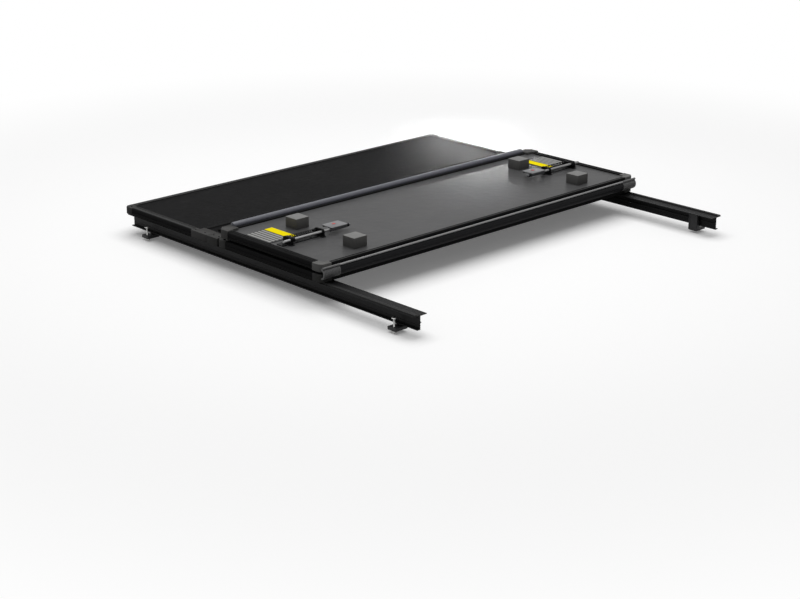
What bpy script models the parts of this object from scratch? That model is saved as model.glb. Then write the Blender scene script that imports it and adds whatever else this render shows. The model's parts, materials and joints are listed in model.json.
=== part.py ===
"""Hard tri-fold tonneau cover for a pickup bed, opened by one fold.

Metres, +Z up, +X to the truck's right, +Y towards the cab.  The rear panel lies
upside down on the middle panel.  Design coordinates have Y = 0 at the front edge
of the panels and Z = 0 at the top of the panel frames; the empty cover_datum
carries everything to the part's own origin, the centre of its box's bottom.
"""
import math

import bmesh
import bpy
from mathutils import Matrix, Vector

# ---------------------------------------------------------------- panels
COVER_WIDTH = 1.620             # across the corner caps
FRONT_SHEET_LENGTH = 0.435      # bulkhead edge to the ridge of the hinge deck
MIDDLE_LENGTH = 0.567           # middle hinge axis to rear hinge axis
FRAME_HEIGHT = 0.028
SIDE_BAND = 0.030               # width of a side frame seen from above
END_BAND = 0.024                # width of a cross frame seen from above
SHEET_THICKNESS = 0.0215
TOP_RECESS = 0.0015             # sheet below the frames on the weather side
SHEET_GRIP = 0.008              # how far the sheet reaches into a frame's channel
FIT = 0.0003                    # clearance between touching pieces
FRAME_INSET = 0.0012            # side frames stand this far inside the corner caps
SIDE_ROUNDING = 0.007
END_ROUNDING = 0.0025
ARC_STEPS = 3

# ---------------------------------------------------------------- hinges
AXIS_HEIGHT = 0.0046            # hinge axes above the top of the frames
KNUCKLE_RADIUS = 0.0042
KNUCKLE_STEPS = 9
KNUCKLES = 5
KNUCKLE_GAP = 0.0008
LEAF_REACH = 0.0062
LEAF_SINK = 0.0012
PIN_RADIUS = 0.0020
PIN_SIDES = 14
HINGE_DECK = 0.0755             # ridge behind the front sheet to the front hinge axis
LINK_SPACING = 0.0625           # front hinge axis to middle hinge axis
LINK_THICKNESS = 0.023
RIDGE_WIDTH = 0.008             # raised edges of the deck and of the link
DECK_RECESS = 0.004
FOLD_SETBACK = 0.0165           # folded edge of the rear panel behind the middle axis

# ---------------------------------------------------------------- corner caps
CAP_ALONG = 0.046               # along the side frame
CAP_ACROSS = 0.050              # along the cross frame
CAP_CLIP = 0.012
CAP_EDGE = 0.0016
HINGE_CAP_AHEAD = 0.018         # front hinge cap's reach beside the front sheet
LINK_END = 0.050                # solid ends of the link
TAIL_CAP_ACROSS = 0.058
TAIL_CAP_CLIP = 0.020
TAIL_CAP_NOSE = 0.0105          # beyond the tailgate frame, beside the bulb seal
TAIL_CAP_RISE = 0.0045          # beyond the underside of the frames
TAIL_BAND = 0.038

# ---------------------------------------------------------------- seals and blocks
BULB_RADIUS = 0.0120
BULB_SIDES = 20
BULB_INSET = 0.0015             # bulb's centre inside the tailgate frame's edge
BULB_DROP = 0.0028              # bulb's centre beyond the underside of the frames
BLOCK_SIDE = 0.060
BLOCK_HEIGHT = 0.039
BLOCK_INSET = 0.233             # block's centre inside the cover's side
BLOCK_SETBACKS = (0.1515, 0.0910)   # from the tailgate edge, and from the rear hinge axis
BLOCK_EDGE = 0.003
RAIL_SEAL_HEIGHT = 0.0042
RAIL_SEAL_WIDTH = 0.012
RAIL_SEAL_INSET = 0.020         # seal's centre inside the cover's side
BULKHEAD_SEAL_DEPTH = 0.006
BULKHEAD_SEAL_HEIGHT = 0.020
BULKHEAD_SEAL_DROP = 0.004
BULKHEAD_SEAL_INSET = 0.025     # seal's ends inside the cover's sides
SEAL_EDGE = 0.0012
FOLD_SEAL_BULGE = 0.0150        # rubber strip that arches round the folded rear hinge
FOLD_SEAL_REACH = 0.0170        # above and below the hinge axis
FOLD_SEAL_WALL = 0.0030
FOLD_SEAL_STEPS = 10
FOLD_SEAL_END_EXTRA = 0.0010    # moulded ends stand proud of the strip

# ---------------------------------------------------------------- side rails
RAIL_OUTER_INSET = 0.010        # flange's edge inside the cover's side
RAIL_FLANGE = 0.030             # flange outboard of the wall's inner face
RAIL_LIP = 0.028                # lip inboard of the wall, caught by the latch bolts
RAIL_WALL = 0.003
RAIL_DEPTH = 0.050
RAIL_FOOT = 0.014
RAIL_RIB = 0.004
RAIL_RIB_DROP = 0.024
RAIL_START_Y = -0.004
RAIL_END_INSET = 0.1155         # rail's end ahead of the shut cover's tailgate edge

# ---------------------------------------------------------------- clamps
CLAMP_INSETS = (0.116, 0.095)   # from the rail's front end, and from its rear end
CLAMP_WIDTH = 0.040
CLAMP_SPINE = 0.012
CLAMP_ARM = 0.012
CLAMP_BELOW_RAIL = 0.008
CLAMP_REACH = 0.025             # bolt axis outboard of the rail's wall
CLAMP_NOSE = 0.013              # arm beyond the bolt axis
CLAMP_EDGE = 0.0015
CLAMP_SCREW_RADIUS = 0.0040
CLAMP_SCREW_SIDES = 16
CLAMP_FOOT_RADIUS = 0.0090
CLAMP_FOOT_HEIGHT = 0.0040
CLAMP_HEAD_RADIUS = 0.0080
CLAMP_HEAD_HEIGHT = 0.0060
CLAMP_GRIP = 0.024              # room for the bed flange between rail and foot
CLAMP_SPARE_THREAD = 0.004

# ---------------------------------------------------------------- latches
ROD_SETBACK = 0.3035            # rod's axis from the tailgate edge
ROD_RADIUS = 0.0050
ROD_SIDES = 16
ROD_LIFT = 0.0190               # rod's axis above the sheet
ROD_CATCH = 0.025               # tip's reach under the lip
ROD_LENGTH = 0.281
TIP_SLOPE = 0.80                # wedge on the tip, run over rise
BASE_OVERHANG = 0.022           # plate's end beyond the lip's edge
BASE_LENGTH = 0.194
BASE_PLATE = 0.0030
LUG = 0.010
LUG_CLEARANCE = 0.005           # outer lug inside the lip's edge
LUG_SPACING = 0.142
LUG_RISE = 0.009                # lug above the rod's axis
LATCH_MARGIN = 0.012            # base beyond the rod and spring axes
ARM = 0.009
ARM_RISE = 0.008
SPRING_OFFSET = 0.031           # spring's axis ahead of the rod's
SPRING_RADIUS = 0.0060
SPRING_WIRE = 0.0010
SPRING_TURNS = 8
SPRING_STEPS = 9
HANDLE_OVERHANG = 0.006         # plate's end beyond the rod's inner end
HANDLE_WIDTH = 0.076
HANDLE_DEPTH = 0.056
HANDLE_PLATE = 0.0035
HANDLE_BOSS = 0.009
HANDLE_BOSS_DROP = 0.008
HANDLE_EDGE = 0.0015
PAD_MARGIN = 0.004              # pad's outer edge inside the side frame
PAD_WIDTH = 0.124
PAD_SETBACK = 0.1005            # from the tailgate edge
PAD_LENGTH = 0.136
PAD_THICKNESS = 0.003
PAD_EDGE = 0.001

# ---------------------------------------------------------------- worked out
HALF = COVER_WIDTH / 2
KNUCKLE_HALF_RUN = HALF - TAIL_CAP_ACROSS
FOLD_GAP = 2 * AXIS_HEIGHT
SHEET_BOTTOM = -(TOP_RECESS + SHEET_THICKNESS)
FOLDED_SHEET = FOLD_GAP - SHEET_BOTTOM
Y_DECK = -FRONT_SHEET_LENGTH
Y_FRONT_AXIS = Y_DECK - HINGE_DECK
Y_MIDDLE_AXIS = Y_FRONT_AXIS - LINK_SPACING
Y_REAR_AXIS = Y_MIDDLE_AXIS - MIDDLE_LENGTH
Y_FOLDED_EDGE = Y_MIDDLE_AXIS - FOLD_SETBACK
Y_SHUT_EDGE = 2 * Y_REAR_AXIS - Y_FOLDED_EDGE
BLOCK_YS = (Y_FOLDED_EDGE - BLOCK_SETBACKS[0], Y_REAR_AXIS + BLOCK_SETBACKS[1])
ROD_Y = Y_FOLDED_EDGE - ROD_SETBACK
PAD_YS = (Y_FOLDED_EDGE - PAD_SETBACK, Y_FOLDED_EDGE - PAD_SETBACK - PAD_LENGTH)
RAIL_END_Y = Y_SHUT_EDGE + RAIL_END_INSET
RAIL_OUTER_X = HALF - RAIL_OUTER_INSET
RAIL_WALL_X = RAIL_OUTER_X - RAIL_FLANGE
RAIL_LIP_X = RAIL_WALL_X - RAIL_LIP
RAIL_SEAL_X = HALF - RAIL_SEAL_INSET
RAIL_TOP = -FRAME_HEIGHT - RAIL_SEAL_HEIGHT - 2 * FIT
RAIL_BOTTOM = RAIL_TOP - RAIL_DEPTH
RIB_TOP = RAIL_TOP - RAIL_RIB_DROP
CLAMP_YS = (RAIL_START_Y - CLAMP_INSETS[0], RAIL_END_Y + CLAMP_INSETS[1])
CLAMP_TOP = RAIL_TOP - RAIL_WALL - FIT
ARM_TOP = RAIL_BOTTOM - CLAMP_BELOW_RAIL
ARM_BOTTOM = ARM_TOP - CLAMP_ARM
CLAMP_SCREW_X = RAIL_WALL_X + CLAMP_REACH
BOLT_BOTTOM = ARM_BOTTOM - CLAMP_SPARE_THREAD - CLAMP_HEAD_HEIGHT
Z_ROD = FOLDED_SHEET + ROD_LIFT
SPRING_Y = ROD_Y + SPRING_OFFSET
ROD_TIP_X = RAIL_LIP_X + ROD_CATCH
ROD_END_X = ROD_TIP_X - ROD_LENGTH
BASE_OUTER_X = RAIL_LIP_X + BASE_OVERHANG
BASE_INNER_X = BASE_OUTER_X - BASE_LENGTH
LUG_OUTER_X = RAIL_LIP_X - LUG_CLEARANCE - LUG / 2
LUG_INNER_X = LUG_OUTER_X - LUG_SPACING
HANDLE_INNER_X = ROD_END_X - HANDLE_OVERHANG
HANDLE_OUTER_X = HANDLE_INNER_X + HANDLE_WIDTH
PAD_OUTER_X = HALF - SIDE_BAND - PAD_MARGIN
PAD_INNER_X = PAD_OUTER_X - PAD_WIDTH
ARM_X = LUG_OUTER_X - LUG / 2 - FIT - ARM / 2
Y_FRONT_MOST = FIT + BULKHEAD_SEAL_DEPTH
DATUM = Vector((0, -(Y_FRONT_MOST + RAIL_END_Y) / 2, -BOLT_BOTTOM))

COLOURS = {
    "skin": ((0.030, 0.031, 0.032), 0.55, 0.0),
    "underside": ((0.075, 0.076, 0.078), 0.60, 0.0),
    "frame": ((0.022, 0.022, 0.023), 0.42, 0.0),
    "cap": ((0.055, 0.056, 0.058), 0.60, 0.0),
    "rubber": ((0.050, 0.052, 0.055), 0.55, 0.0),
    "block": ((0.060, 0.060, 0.061), 0.85, 0.0),
    "rail": ((0.035, 0.035, 0.036), 0.45, 0.2),
    "steel": ((0.45, 0.45, 0.46), 0.35, 1.0),
    "rod": ((0.55, 0.55, 0.55), 0.32, 1.0),
    "handle": ((0.45, 0.46, 0.47), 0.50, 0.0),
    "plate": ((0.32, 0.32, 0.33), 0.55, 0.0),
    "black": ((0.015, 0.015, 0.016), 0.50, 0.0),
}


# ---------------------------------------------------------------- scene helpers
def clear_scene():
    for item in list(bpy.data.objects):
        bpy.data.objects.remove(item, do_unlink=True)


def new_collection(name):
    collection = bpy.data.collections.new(name)
    bpy.context.scene.collection.children.link(collection)
    return collection


def material(name):
    found = bpy.data.materials.get(name)
    if found:
        return found
    colour, roughness, metallic = COLOURS[name]
    made = bpy.data.materials.new(name)
    made.use_nodes = True
    shader = made.node_tree.nodes["Principled BSDF"]
    shader.inputs["Base Color"].default_value = (*colour, 1)
    shader.inputs["Roughness"].default_value = roughness
    shader.inputs["Metallic"].default_value = metallic
    return made


def empty(name, place, parent=None):
    item = bpy.data.objects.new(name, None)
    item.empty_display_size = 0.05
    item.location = place
    PARTS.objects.link(item)
    if parent:
        hang(item, parent)
    return item


def hang(item, parent):
    """Parent an object to an axis empty and keep its design coordinates."""
    item.parent = parent
    if parent is not DATUM_EMPTY:
        item.matrix_parent_inverse = Matrix.Translation(-AXIS_PLACES[parent.name])


def finish(bm, name, colour, parent, smooth=None):
    bmesh.ops.recalc_face_normals(bm, faces=bm.faces)
    mesh = bpy.data.meshes.new(name)
    bm.to_mesh(mesh)
    bm.free()
    if smooth is not None:
        mesh.shade_smooth()
        mesh.set_sharp_from_angle(angle=math.radians(smooth))
    item = bpy.data.objects.new(name, mesh)
    item.data.materials.append(material(colour))
    PARTS.objects.link(item)
    hang(item, parent)
    return item


def as_tool(bm, name):
    """A hidden solid that another piece is joined to or cut by."""
    bmesh.ops.recalc_face_normals(bm, faces=bm.faces)
    mesh = bpy.data.meshes.new(name)
    bm.to_mesh(mesh)
    bm.free()
    tool = bpy.data.objects.new(name, mesh)
    tool.display_type = "WIRE"
    tool.hide_render = True
    TOOLS.objects.link(tool)
    tool.parent = DATUM_EMPTY
    return tool


def combine(item, tool, operation):
    modifier = item.modifiers.new(tool.name, "BOOLEAN")
    modifier.operation = operation
    modifier.object = tool
    modifier.solver = "EXACT"


def round_edges(bm, width, segments=2):
    """Round the outer edges and leave the inner corners alone."""
    bmesh.ops.recalc_face_normals(bm, faces=bm.faces)
    outer = [edge for edge in bm.edges
             if edge.is_convex and edge.calc_face_angle() > math.radians(40)]
    bmesh.ops.bevel(bm, geom=outer, offset=width, offset_type="OFFSET", segments=segments,
                    profile=0.5, affect="EDGES", clamp_overlap=True)


# ---------------------------------------------------------------- shape helpers
def prism(bm, outline, start, end):
    """Extrude a closed outline of 3-D points by start and end offsets."""
    face = bm.faces.new([bm.verts.new(Vector(point) + Vector(start)) for point in outline])
    moved = bmesh.ops.extrude_face_region(bm, geom=[face], use_keep_orig=True)
    verts = [part for part in moved["geom"] if isinstance(part, bmesh.types.BMVert)]
    bmesh.ops.translate(bm, vec=Vector(end) - Vector(start), verts=verts)


def along_y(bm, outline, y0, y1):
    prism(bm, [(x, 0, z) for x, z in outline], (0, y0, 0), (0, y1, 0))


def along_x(bm, outline, x0, x1):
    prism(bm, [(0, y, z) for y, z in outline], (x0, 0, 0), (x1, 0, 0))


def along_z(bm, outline, z0, z1):
    prism(bm, [(x, y, 0) for x, y in outline], (0, 0, z0), (0, 0, z1))


def box(bm, low, high):
    low, high = Vector(low), Vector(high)
    size = high - low
    place = Matrix.Translation((low + high) / 2) @ Matrix.Diagonal((*size, 1))
    bmesh.ops.create_cube(bm, size=1, matrix=place)


def cylinder(bm, start, end, radius, sides):
    start, end = Vector(start), Vector(end)
    turn = (end - start).to_track_quat("Z", "Y").to_matrix().to_4x4()
    place = Matrix.Translation((start + end) / 2) @ turn
    bmesh.ops.create_cone(
        bm, cap_ends=True, segments=sides, radius1=radius, radius2=radius,
        depth=(end - start).length, matrix=place)


def arc(centre, radius, first, last, steps):
    """Points on a circle between two angles given in degrees."""
    points = []
    for step in range(steps + 1):
        angle = math.radians(first + (last - first) * step / steps)
        points.append((centre[0] + radius * math.cos(angle), centre[1] + radius * math.sin(angle)))
    return points


def folded(z):
    """Height of a rear panel feature once the panel is folded forward."""
    return FOLD_GAP - z


def same(z):
    return z


# ---------------------------------------------------------------- panels
def frame_outline(band, inset, rounding):
    """Frame section: distance in from the outer face, and height."""
    slot_top = -TOP_RECESS + FIT
    slot_bottom = SHEET_BOTTOM - FIT
    slot_floor = band - SHEET_GRIP - FIT
    top = arc((inset + rounding, -rounding), rounding, 90, 180, ARC_STEPS)
    bottom = arc((inset + rounding, -FRAME_HEIGHT + rounding), rounding, 180, 270, ARC_STEPS)
    channel = [(band, -FRAME_HEIGHT), (band, slot_bottom), (slot_floor, slot_bottom),
               (slot_floor, slot_top), (band, slot_top), (band, 0)]
    return top + bottom + channel


def side_frame(name, side, y0, y1, lay, parent):
    outline = [(side * (HALF - u), lay(z))
               for u, z in frame_outline(SIDE_BAND, FRAME_INSET, SIDE_ROUNDING)]
    bm = bmesh.new()
    along_y(bm, outline, y0 - FIT, y1 + FIT)
    return finish(bm, name, "frame", parent, smooth=35)


def cross_frame(name, y_edge, inward, lay, half_run, parent):
    outline = [(y_edge + inward * u, lay(z))
               for u, z in frame_outline(END_BAND, 0, END_ROUNDING)]
    bm = bmesh.new()
    along_x(bm, outline, -half_run, half_run)
    return finish(bm, name, "frame", parent, smooth=35)


def sheet(name, y_front, y_rear, front_corner, rear_corner, bands, lay, colour, parent):
    """Sandwich sheet, notched at its corners where the caps sit.

    A corner is (along, across), the cap's arms; bands are the widths of the front
    and rear cross frames.
    """
    side = HALF - SIDE_BAND
    grip = SHEET_GRIP
    corners = ((y_front, -1, front_corner, bands[0]), (y_rear, 1, rear_corner, bands[1]))
    quarter = []
    for y_edge, inward, (along, across), band in corners:
        steps = [
            (HALF - across - FIT, y_edge + inward * (band - grip)),
            (HALF - across - FIT, y_edge + inward * (band + FIT)),
            (side - FIT, y_edge + inward * (band + FIT)),
            (side - FIT, y_edge + inward * (along + FIT)),
            (side + grip, y_edge + inward * (along + FIT)),
        ]
        quarter += steps if inward < 0 else steps[::-1]
    outline = quarter + [(-x, y) for x, y in reversed(quarter)]
    bm = bmesh.new()
    along_z(bm, outline, lay(-TOP_RECESS), lay(SHEET_BOTTOM))
    return finish(bm, name, colour, parent)


def cap_outline(side, y_edge, inward, along, across, band, clip):
    """Plan of an L-shaped corner cap with its outer corner cut off."""
    plan = [(clip, 0), (across, 0), (across, band), (SIDE_BAND, band),
            (SIDE_BAND, along), (0, along), (0, clip)]
    return [(side * (HALF - u), y_edge + inward * v) for u, v in plan]


def corner_cap(name, side, y_edge, inward, lay, parent, along=CAP_ALONG, across=CAP_ACROSS,
               band=END_BAND, clip=CAP_CLIP, rise=0.0):
    bm = bmesh.new()
    outline = cap_outline(side, y_edge, inward, along, across, band, clip)
    along_z(bm, outline, lay(0), lay(-FRAME_HEIGHT - rise))
    round_edges(bm, CAP_EDGE, 1)
    return finish(bm, name, "cap", parent)


def both_sides():
    return (("left", -1), ("right", 1))


# ---------------------------------------------------------------- hinges
def knuckle_spans(odd):
    """Stretches of the hinge that belong to the even or to the odd leaf."""
    pitch = 2 * KNUCKLE_HALF_RUN / KNUCKLES
    spans = []
    for number in range(KNUCKLES):
        if number % 2 == odd:
            start = -KNUCKLE_HALF_RUN + number * pitch
            spans.append((start + KNUCKLE_GAP / 2, start + pitch - KNUCKLE_GAP / 2))
    return spans


def knuckle_outline(y_axis, toward, lay):
    """Knuckle with a leaf that reaches down into the frame on one side."""
    z_axis = AXIS_HEIGHT
    round_part = arc((0, 0), KNUCKLE_RADIUS, 0, 270, KNUCKLE_STEPS)
    foot = -AXIS_HEIGHT - LEAF_SINK
    leaf = [(2 * FIT, -KNUCKLE_RADIUS), (2 * FIT, foot), (LEAF_REACH, foot), (LEAF_REACH, 0)]
    return [(y_axis + toward * u, lay(z_axis + v)) for u, v in round_part + leaf]


def add_knuckles(item, y_axis, toward, lay, odd):
    outline = knuckle_outline(y_axis, toward, lay)
    bm = bmesh.new()
    for start, end in knuckle_spans(odd):
        along_x(bm, outline, start, end)
    combine(item, as_tool(bm, f"{item.name}_knuckles_{odd}{toward}"), "UNION")


def cut_pin_bore(item, y_axis):
    bm = bmesh.new()
    reach = KNUCKLE_HALF_RUN + PIN_RADIUS
    axis = AXIS_HEIGHT
    cylinder(bm, (-reach, y_axis, axis), (reach, y_axis, axis), PIN_RADIUS + FIT, PIN_SIDES)
    combine(item, as_tool(bm, f"{item.name}_bore_{round(-1000 * y_axis)}"), "DIFFERENCE")


def hinge_pin(name, y_axis, parent):
    bm = bmesh.new()
    axis = AXIS_HEIGHT
    reach = KNUCKLE_HALF_RUN - PIN_RADIUS
    cylinder(bm, (-reach, y_axis, axis), (reach, y_axis, axis), PIN_RADIUS, PIN_SIDES)
    return finish(bm, name, "steel", parent, smooth=40)


# ---------------------------------------------------------------- front panel
def build_front_panel():
    parent = DATUM_EMPTY
    y_cap = Y_DECK + HINGE_CAP_AHEAD
    y_deck_end = Y_FRONT_AXIS + FIT
    deck_band = Y_DECK - y_deck_end
    sheet("front_panel_sheet", 0, y_deck_end, (CAP_ALONG, CAP_ACROSS),
          (deck_band + HINGE_CAP_AHEAD, CAP_ACROSS), (END_BAND, deck_band), same, "skin", parent)
    cross_frame("front_panel_bulkhead_frame", 0, -1, same, HALF - CAP_ACROSS - FIT, parent)
    for hand, side in both_sides():
        side_frame(f"front_panel_side_frame_{hand}", side, y_cap, -CAP_ALONG - 2 * FIT, same, parent)
        corner_cap(f"bulkhead_corner_cap_{hand}", side, 0, -1, same, parent)
        corner_cap(f"front_hinge_cap_{hand}", side, y_deck_end, 1, same, parent,
                   along=y_cap - y_deck_end - 2 * FIT, band=deck_band, clip=CAP_CLIP / 2)
    build_hinge_deck(y_deck_end, parent)


def build_hinge_deck(y_end, parent):
    """Wide frame behind the front sheet, raised at the ridge and at the hinge."""
    slot_top = -TOP_RECESS + FIT
    slot_bottom = SHEET_BOTTOM - FIT
    slot_floor = Y_DECK - SHEET_GRIP - FIT
    y_ridge = Y_DECK - RIDGE_WIDTH - SHEET_GRIP
    y_lip = y_end + RIDGE_WIDTH
    outline = [(Y_DECK, 0), (y_ridge, 0), (y_ridge, -DECK_RECESS), (y_lip, -DECK_RECESS),
               (y_lip, 0), (y_end, 0), (y_end, -FRAME_HEIGHT), (Y_DECK, -FRAME_HEIGHT),
               (Y_DECK, slot_bottom), (slot_floor, slot_bottom), (slot_floor, slot_top),
               (Y_DECK, slot_top)]
    half_run = HALF - CAP_ACROSS - FIT
    bm = bmesh.new()
    along_x(bm, outline, -half_run, half_run)
    deck = finish(bm, "front_panel_hinge_frame", "frame", parent)
    add_knuckles(deck, Y_FRONT_AXIS, 1, same, 0)
    cut_pin_bore(deck, Y_FRONT_AXIS)


# ---------------------------------------------------------------- double hinge
def build_link():
    parent = FRONT_AXIS
    y0 = Y_MIDDLE_AXIS + FIT
    y1 = Y_FRONT_AXIS - FIT
    outline = [(y0, 0), (y0 + RIDGE_WIDTH, 0), (y0 + RIDGE_WIDTH, -DECK_RECESS),
               (y1 - RIDGE_WIDTH, -DECK_RECESS), (y1 - RIDGE_WIDTH, 0), (y1, 0),
               (y1, -LINK_THICKNESS), (y0, -LINK_THICKNESS)]
    bm = bmesh.new()
    along_x(bm, outline, -HALF + LINK_END / 2, HALF - LINK_END / 2)
    link = finish(bm, "hinge_link", "frame", parent)
    bm = bmesh.new()
    for _, side in both_sides():
        xs = sorted((side * HALF, side * (HALF - LINK_END)))
        box(bm, (xs[0], y0, -FRAME_HEIGHT), (xs[1], y1, 0))
    combine(link, as_tool(bm, "hinge_link_ends"), "UNION")
    add_knuckles(link, Y_FRONT_AXIS, -1, same, 1)
    add_knuckles(link, Y_MIDDLE_AXIS, 1, same, 1)
    cut_pin_bore(link, Y_FRONT_AXIS)
    cut_pin_bore(link, Y_MIDDLE_AXIS)
    hinge_pin("front_hinge_pin", Y_FRONT_AXIS, DATUM_EMPTY)


# ---------------------------------------------------------------- middle panel
def build_middle_panel():
    parent = MIDDLE_AXIS
    y0 = Y_REAR_AXIS + FIT
    y1 = Y_MIDDLE_AXIS - FIT
    half_run = HALF - CAP_ACROSS - FIT
    corner = (CAP_ALONG, CAP_ACROSS)
    sheet("middle_panel_sheet", y1, y0, corner, corner, (END_BAND, END_BAND), same, "skin", parent)
    front = cross_frame("middle_panel_front_frame", y1, -1, same, half_run, parent)
    add_knuckles(front, Y_MIDDLE_AXIS, -1, same, 0)
    cut_pin_bore(front, Y_MIDDLE_AXIS)
    rear = cross_frame("middle_panel_rear_frame", y0, 1, same, half_run, parent)
    add_knuckles(rear, Y_REAR_AXIS, 1, same, 0)
    cut_pin_bore(rear, Y_REAR_AXIS)
    hinge_pin("middle_hinge_pin", Y_MIDDLE_AXIS, parent)
    hinge_pin("rear_hinge_pin", Y_REAR_AXIS, parent)
    for hand, side in both_sides():
        side_frame(f"middle_panel_side_frame_{hand}", side, y0 + CAP_ALONG + 2 * FIT,
                   y1 - CAP_ALONG - 2 * FIT, same, parent)
        corner_cap(f"middle_front_cap_{hand}", side, y1, -1, same, parent)
        corner_cap(f"middle_rear_cap_{hand}", side, y0, 1, same, parent)


def half_oval(bulge, reach):
    """Outline bulging towards the tailgate from the panels' end faces."""
    points = []
    for step in range(FOLD_SEAL_STEPS + 1):
        angle = math.pi * (step / FOLD_SEAL_STEPS - 0.5)
        points.append((Y_REAR_AXIS - bulge * math.cos(angle), AXIS_HEIGHT + reach * math.sin(angle)))
    return points


def build_fold_seal():
    """Rubber strip over the rear hinge, arched while the panels are folded."""
    bulge, reach = FOLD_SEAL_BULGE, FOLD_SEAL_REACH
    outer = half_oval(bulge, reach)
    inner = half_oval(bulge - FOLD_SEAL_WALL, reach - FOLD_SEAL_WALL)
    run = HALF - FRAME_INSET
    end = KNUCKLE_HALF_RUN + FIT
    bm = bmesh.new()
    along_x(bm, outer + inner[::-1], -(run + end) / 2, (run + end) / 2)
    seal = finish(bm, "rear_hinge_seal", "rubber", MIDDLE_AXIS, smooth=40)
    block = half_oval(bulge + FOLD_SEAL_END_EXTRA, reach + FOLD_SEAL_END_EXTRA)
    bm = bmesh.new()
    for _, side in both_sides():
        along_x(bm, block, side * end, side * run)
    combine(seal, as_tool(bm, "rear_hinge_seal_ends"), "UNION")


# ---------------------------------------------------------------- rear panel
def tailgate_outline():
    """Tailgate frame section with the ledge that the bulb seal sits in."""
    slot_top = -TOP_RECESS + FIT
    slot_bottom = SHEET_BOTTOM - FIT
    slot_floor = TAIL_BAND - SHEET_GRIP - FIT
    ledge_depth = BULB_INSET + BULB_RADIUS + FIT
    ledge = -FRAME_HEIGHT - BULB_DROP + BULB_RADIUS + FIT
    top = arc((END_ROUNDING, -END_ROUNDING), END_ROUNDING, 90, 180, ARC_STEPS)
    return top + [(0, ledge), (ledge_depth, ledge), (ledge_depth, -FRAME_HEIGHT),
                  (TAIL_BAND, -FRAME_HEIGHT), (TAIL_BAND, slot_bottom), (slot_floor, slot_bottom),
                  (slot_floor, slot_top), (TAIL_BAND, slot_top), (TAIL_BAND, 0)]


def build_rear_panel():
    parent = REAR_AXIS
    y0 = Y_REAR_AXIS + FIT
    y1 = Y_FOLDED_EDGE
    sheet("rear_panel_sheet", y1, y0, (CAP_ALONG, TAIL_CAP_ACROSS), (CAP_ALONG, CAP_ACROSS),
          (TAIL_BAND, END_BAND), folded, "underside", parent)
    hinge = cross_frame("rear_panel_hinge_frame", y0, 1, folded, HALF - CAP_ACROSS - FIT, parent)
    add_knuckles(hinge, Y_REAR_AXIS, 1, folded, 1)
    cut_pin_bore(hinge, Y_REAR_AXIS)
    bm = bmesh.new()
    half_run = HALF - TAIL_CAP_ACROSS - FIT
    along_x(bm, [(y1 - u, folded(z)) for u, z in tailgate_outline()], -half_run, half_run)
    finish(bm, "rear_panel_tailgate_frame", "frame", parent, smooth=35)
    bm = bmesh.new()
    centre = (y1 - BULB_INSET, folded(-FRAME_HEIGHT - BULB_DROP))
    cylinder(bm, (-half_run, *centre), (half_run, *centre), BULB_RADIUS, BULB_SIDES)
    finish(bm, "tailgate_bulb_seal", "rubber", parent, smooth=40)
    for hand, side in both_sides():
        side_frame(f"rear_panel_side_frame_{hand}", side, y0 + CAP_ALONG + 2 * FIT,
                   y1 - CAP_ALONG - 2 * FIT, folded, parent)
        corner_cap(f"rear_hinge_cap_{hand}", side, y0, 1, folded, parent)
        corner_cap(f"tailgate_cap_{hand}", side, y1 + TAIL_CAP_NOSE, -1, folded, parent,
                   along=CAP_ALONG + TAIL_CAP_NOSE, across=TAIL_CAP_ACROSS,
                   band=TAIL_BAND + TAIL_CAP_NOSE, clip=TAIL_CAP_CLIP, rise=TAIL_CAP_RISE)
        for place, y in zip(("front", "rear"), BLOCK_YS):
            bumper_block(f"bumper_block_{place}_{hand}", side * (HALF - BLOCK_INSET), y, parent)
        build_latch(hand, side)


def bumper_block(name, x, y, parent):
    reach = BLOCK_SIDE / 2
    low = FOLDED_SHEET + FIT
    bm = bmesh.new()
    box(bm, (x - reach, y - reach, low), (x + reach, y + reach, FOLDED_SHEET + BLOCK_HEIGHT))
    round_edges(bm, BLOCK_EDGE)
    finish(bm, name, "block", parent)


# ---------------------------------------------------------------- latches
def side_box(bm, side, x0, x1, y0, y1, z0, z1):
    xs = sorted((side * x0, side * x1))
    box(bm, (xs[0], y0, z0), (xs[1], y1, z1))


def build_latch(hand, side):
    latch_base(hand, side)
    latch_bolt(hand, side)
    latch_handle(hand, side)
    latch_spring(hand, side)
    bm = bmesh.new()
    low = FOLDED_SHEET + FIT
    side_box(bm, side, PAD_INNER_X, PAD_OUTER_X, PAD_YS[1], PAD_YS[0], low, low + PAD_THICKNESS)
    round_edges(bm, PAD_EDGE, 1)
    finish(bm, f"latch_pad_{hand}", "plate", REAR_AXIS)


def latch_base(hand, side):
    """Plate on the sheet with two lugs that guide the rod."""
    y0 = ROD_Y - LATCH_MARGIN
    y1 = SPRING_Y + LATCH_MARGIN
    low = FOLDED_SHEET + FIT
    bm = bmesh.new()
    side_box(bm, side, BASE_INNER_X, BASE_OUTER_X, y0, y1, low, low + BASE_PLATE)
    base = finish(bm, f"latch_base_{hand}", "black", REAR_AXIS)
    bm = bmesh.new()
    for x in (LUG_INNER_X, LUG_OUTER_X):
        side_box(bm, side, x - LUG / 2, x + LUG / 2, y0, y1, low + BASE_PLATE / 2, Z_ROD + LUG_RISE)
    combine(base, as_tool(bm, f"latch_lugs_{hand}"), "UNION")
    bm = bmesh.new()
    start, end = (side * BASE_INNER_X, ROD_Y, Z_ROD), (side * BASE_OUTER_X, ROD_Y, Z_ROD)
    cylinder(bm, start, end, ROD_RADIUS + FIT, ROD_SIDES)
    combine(base, as_tool(bm, f"latch_guide_{hand}"), "DIFFERENCE")


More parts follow.
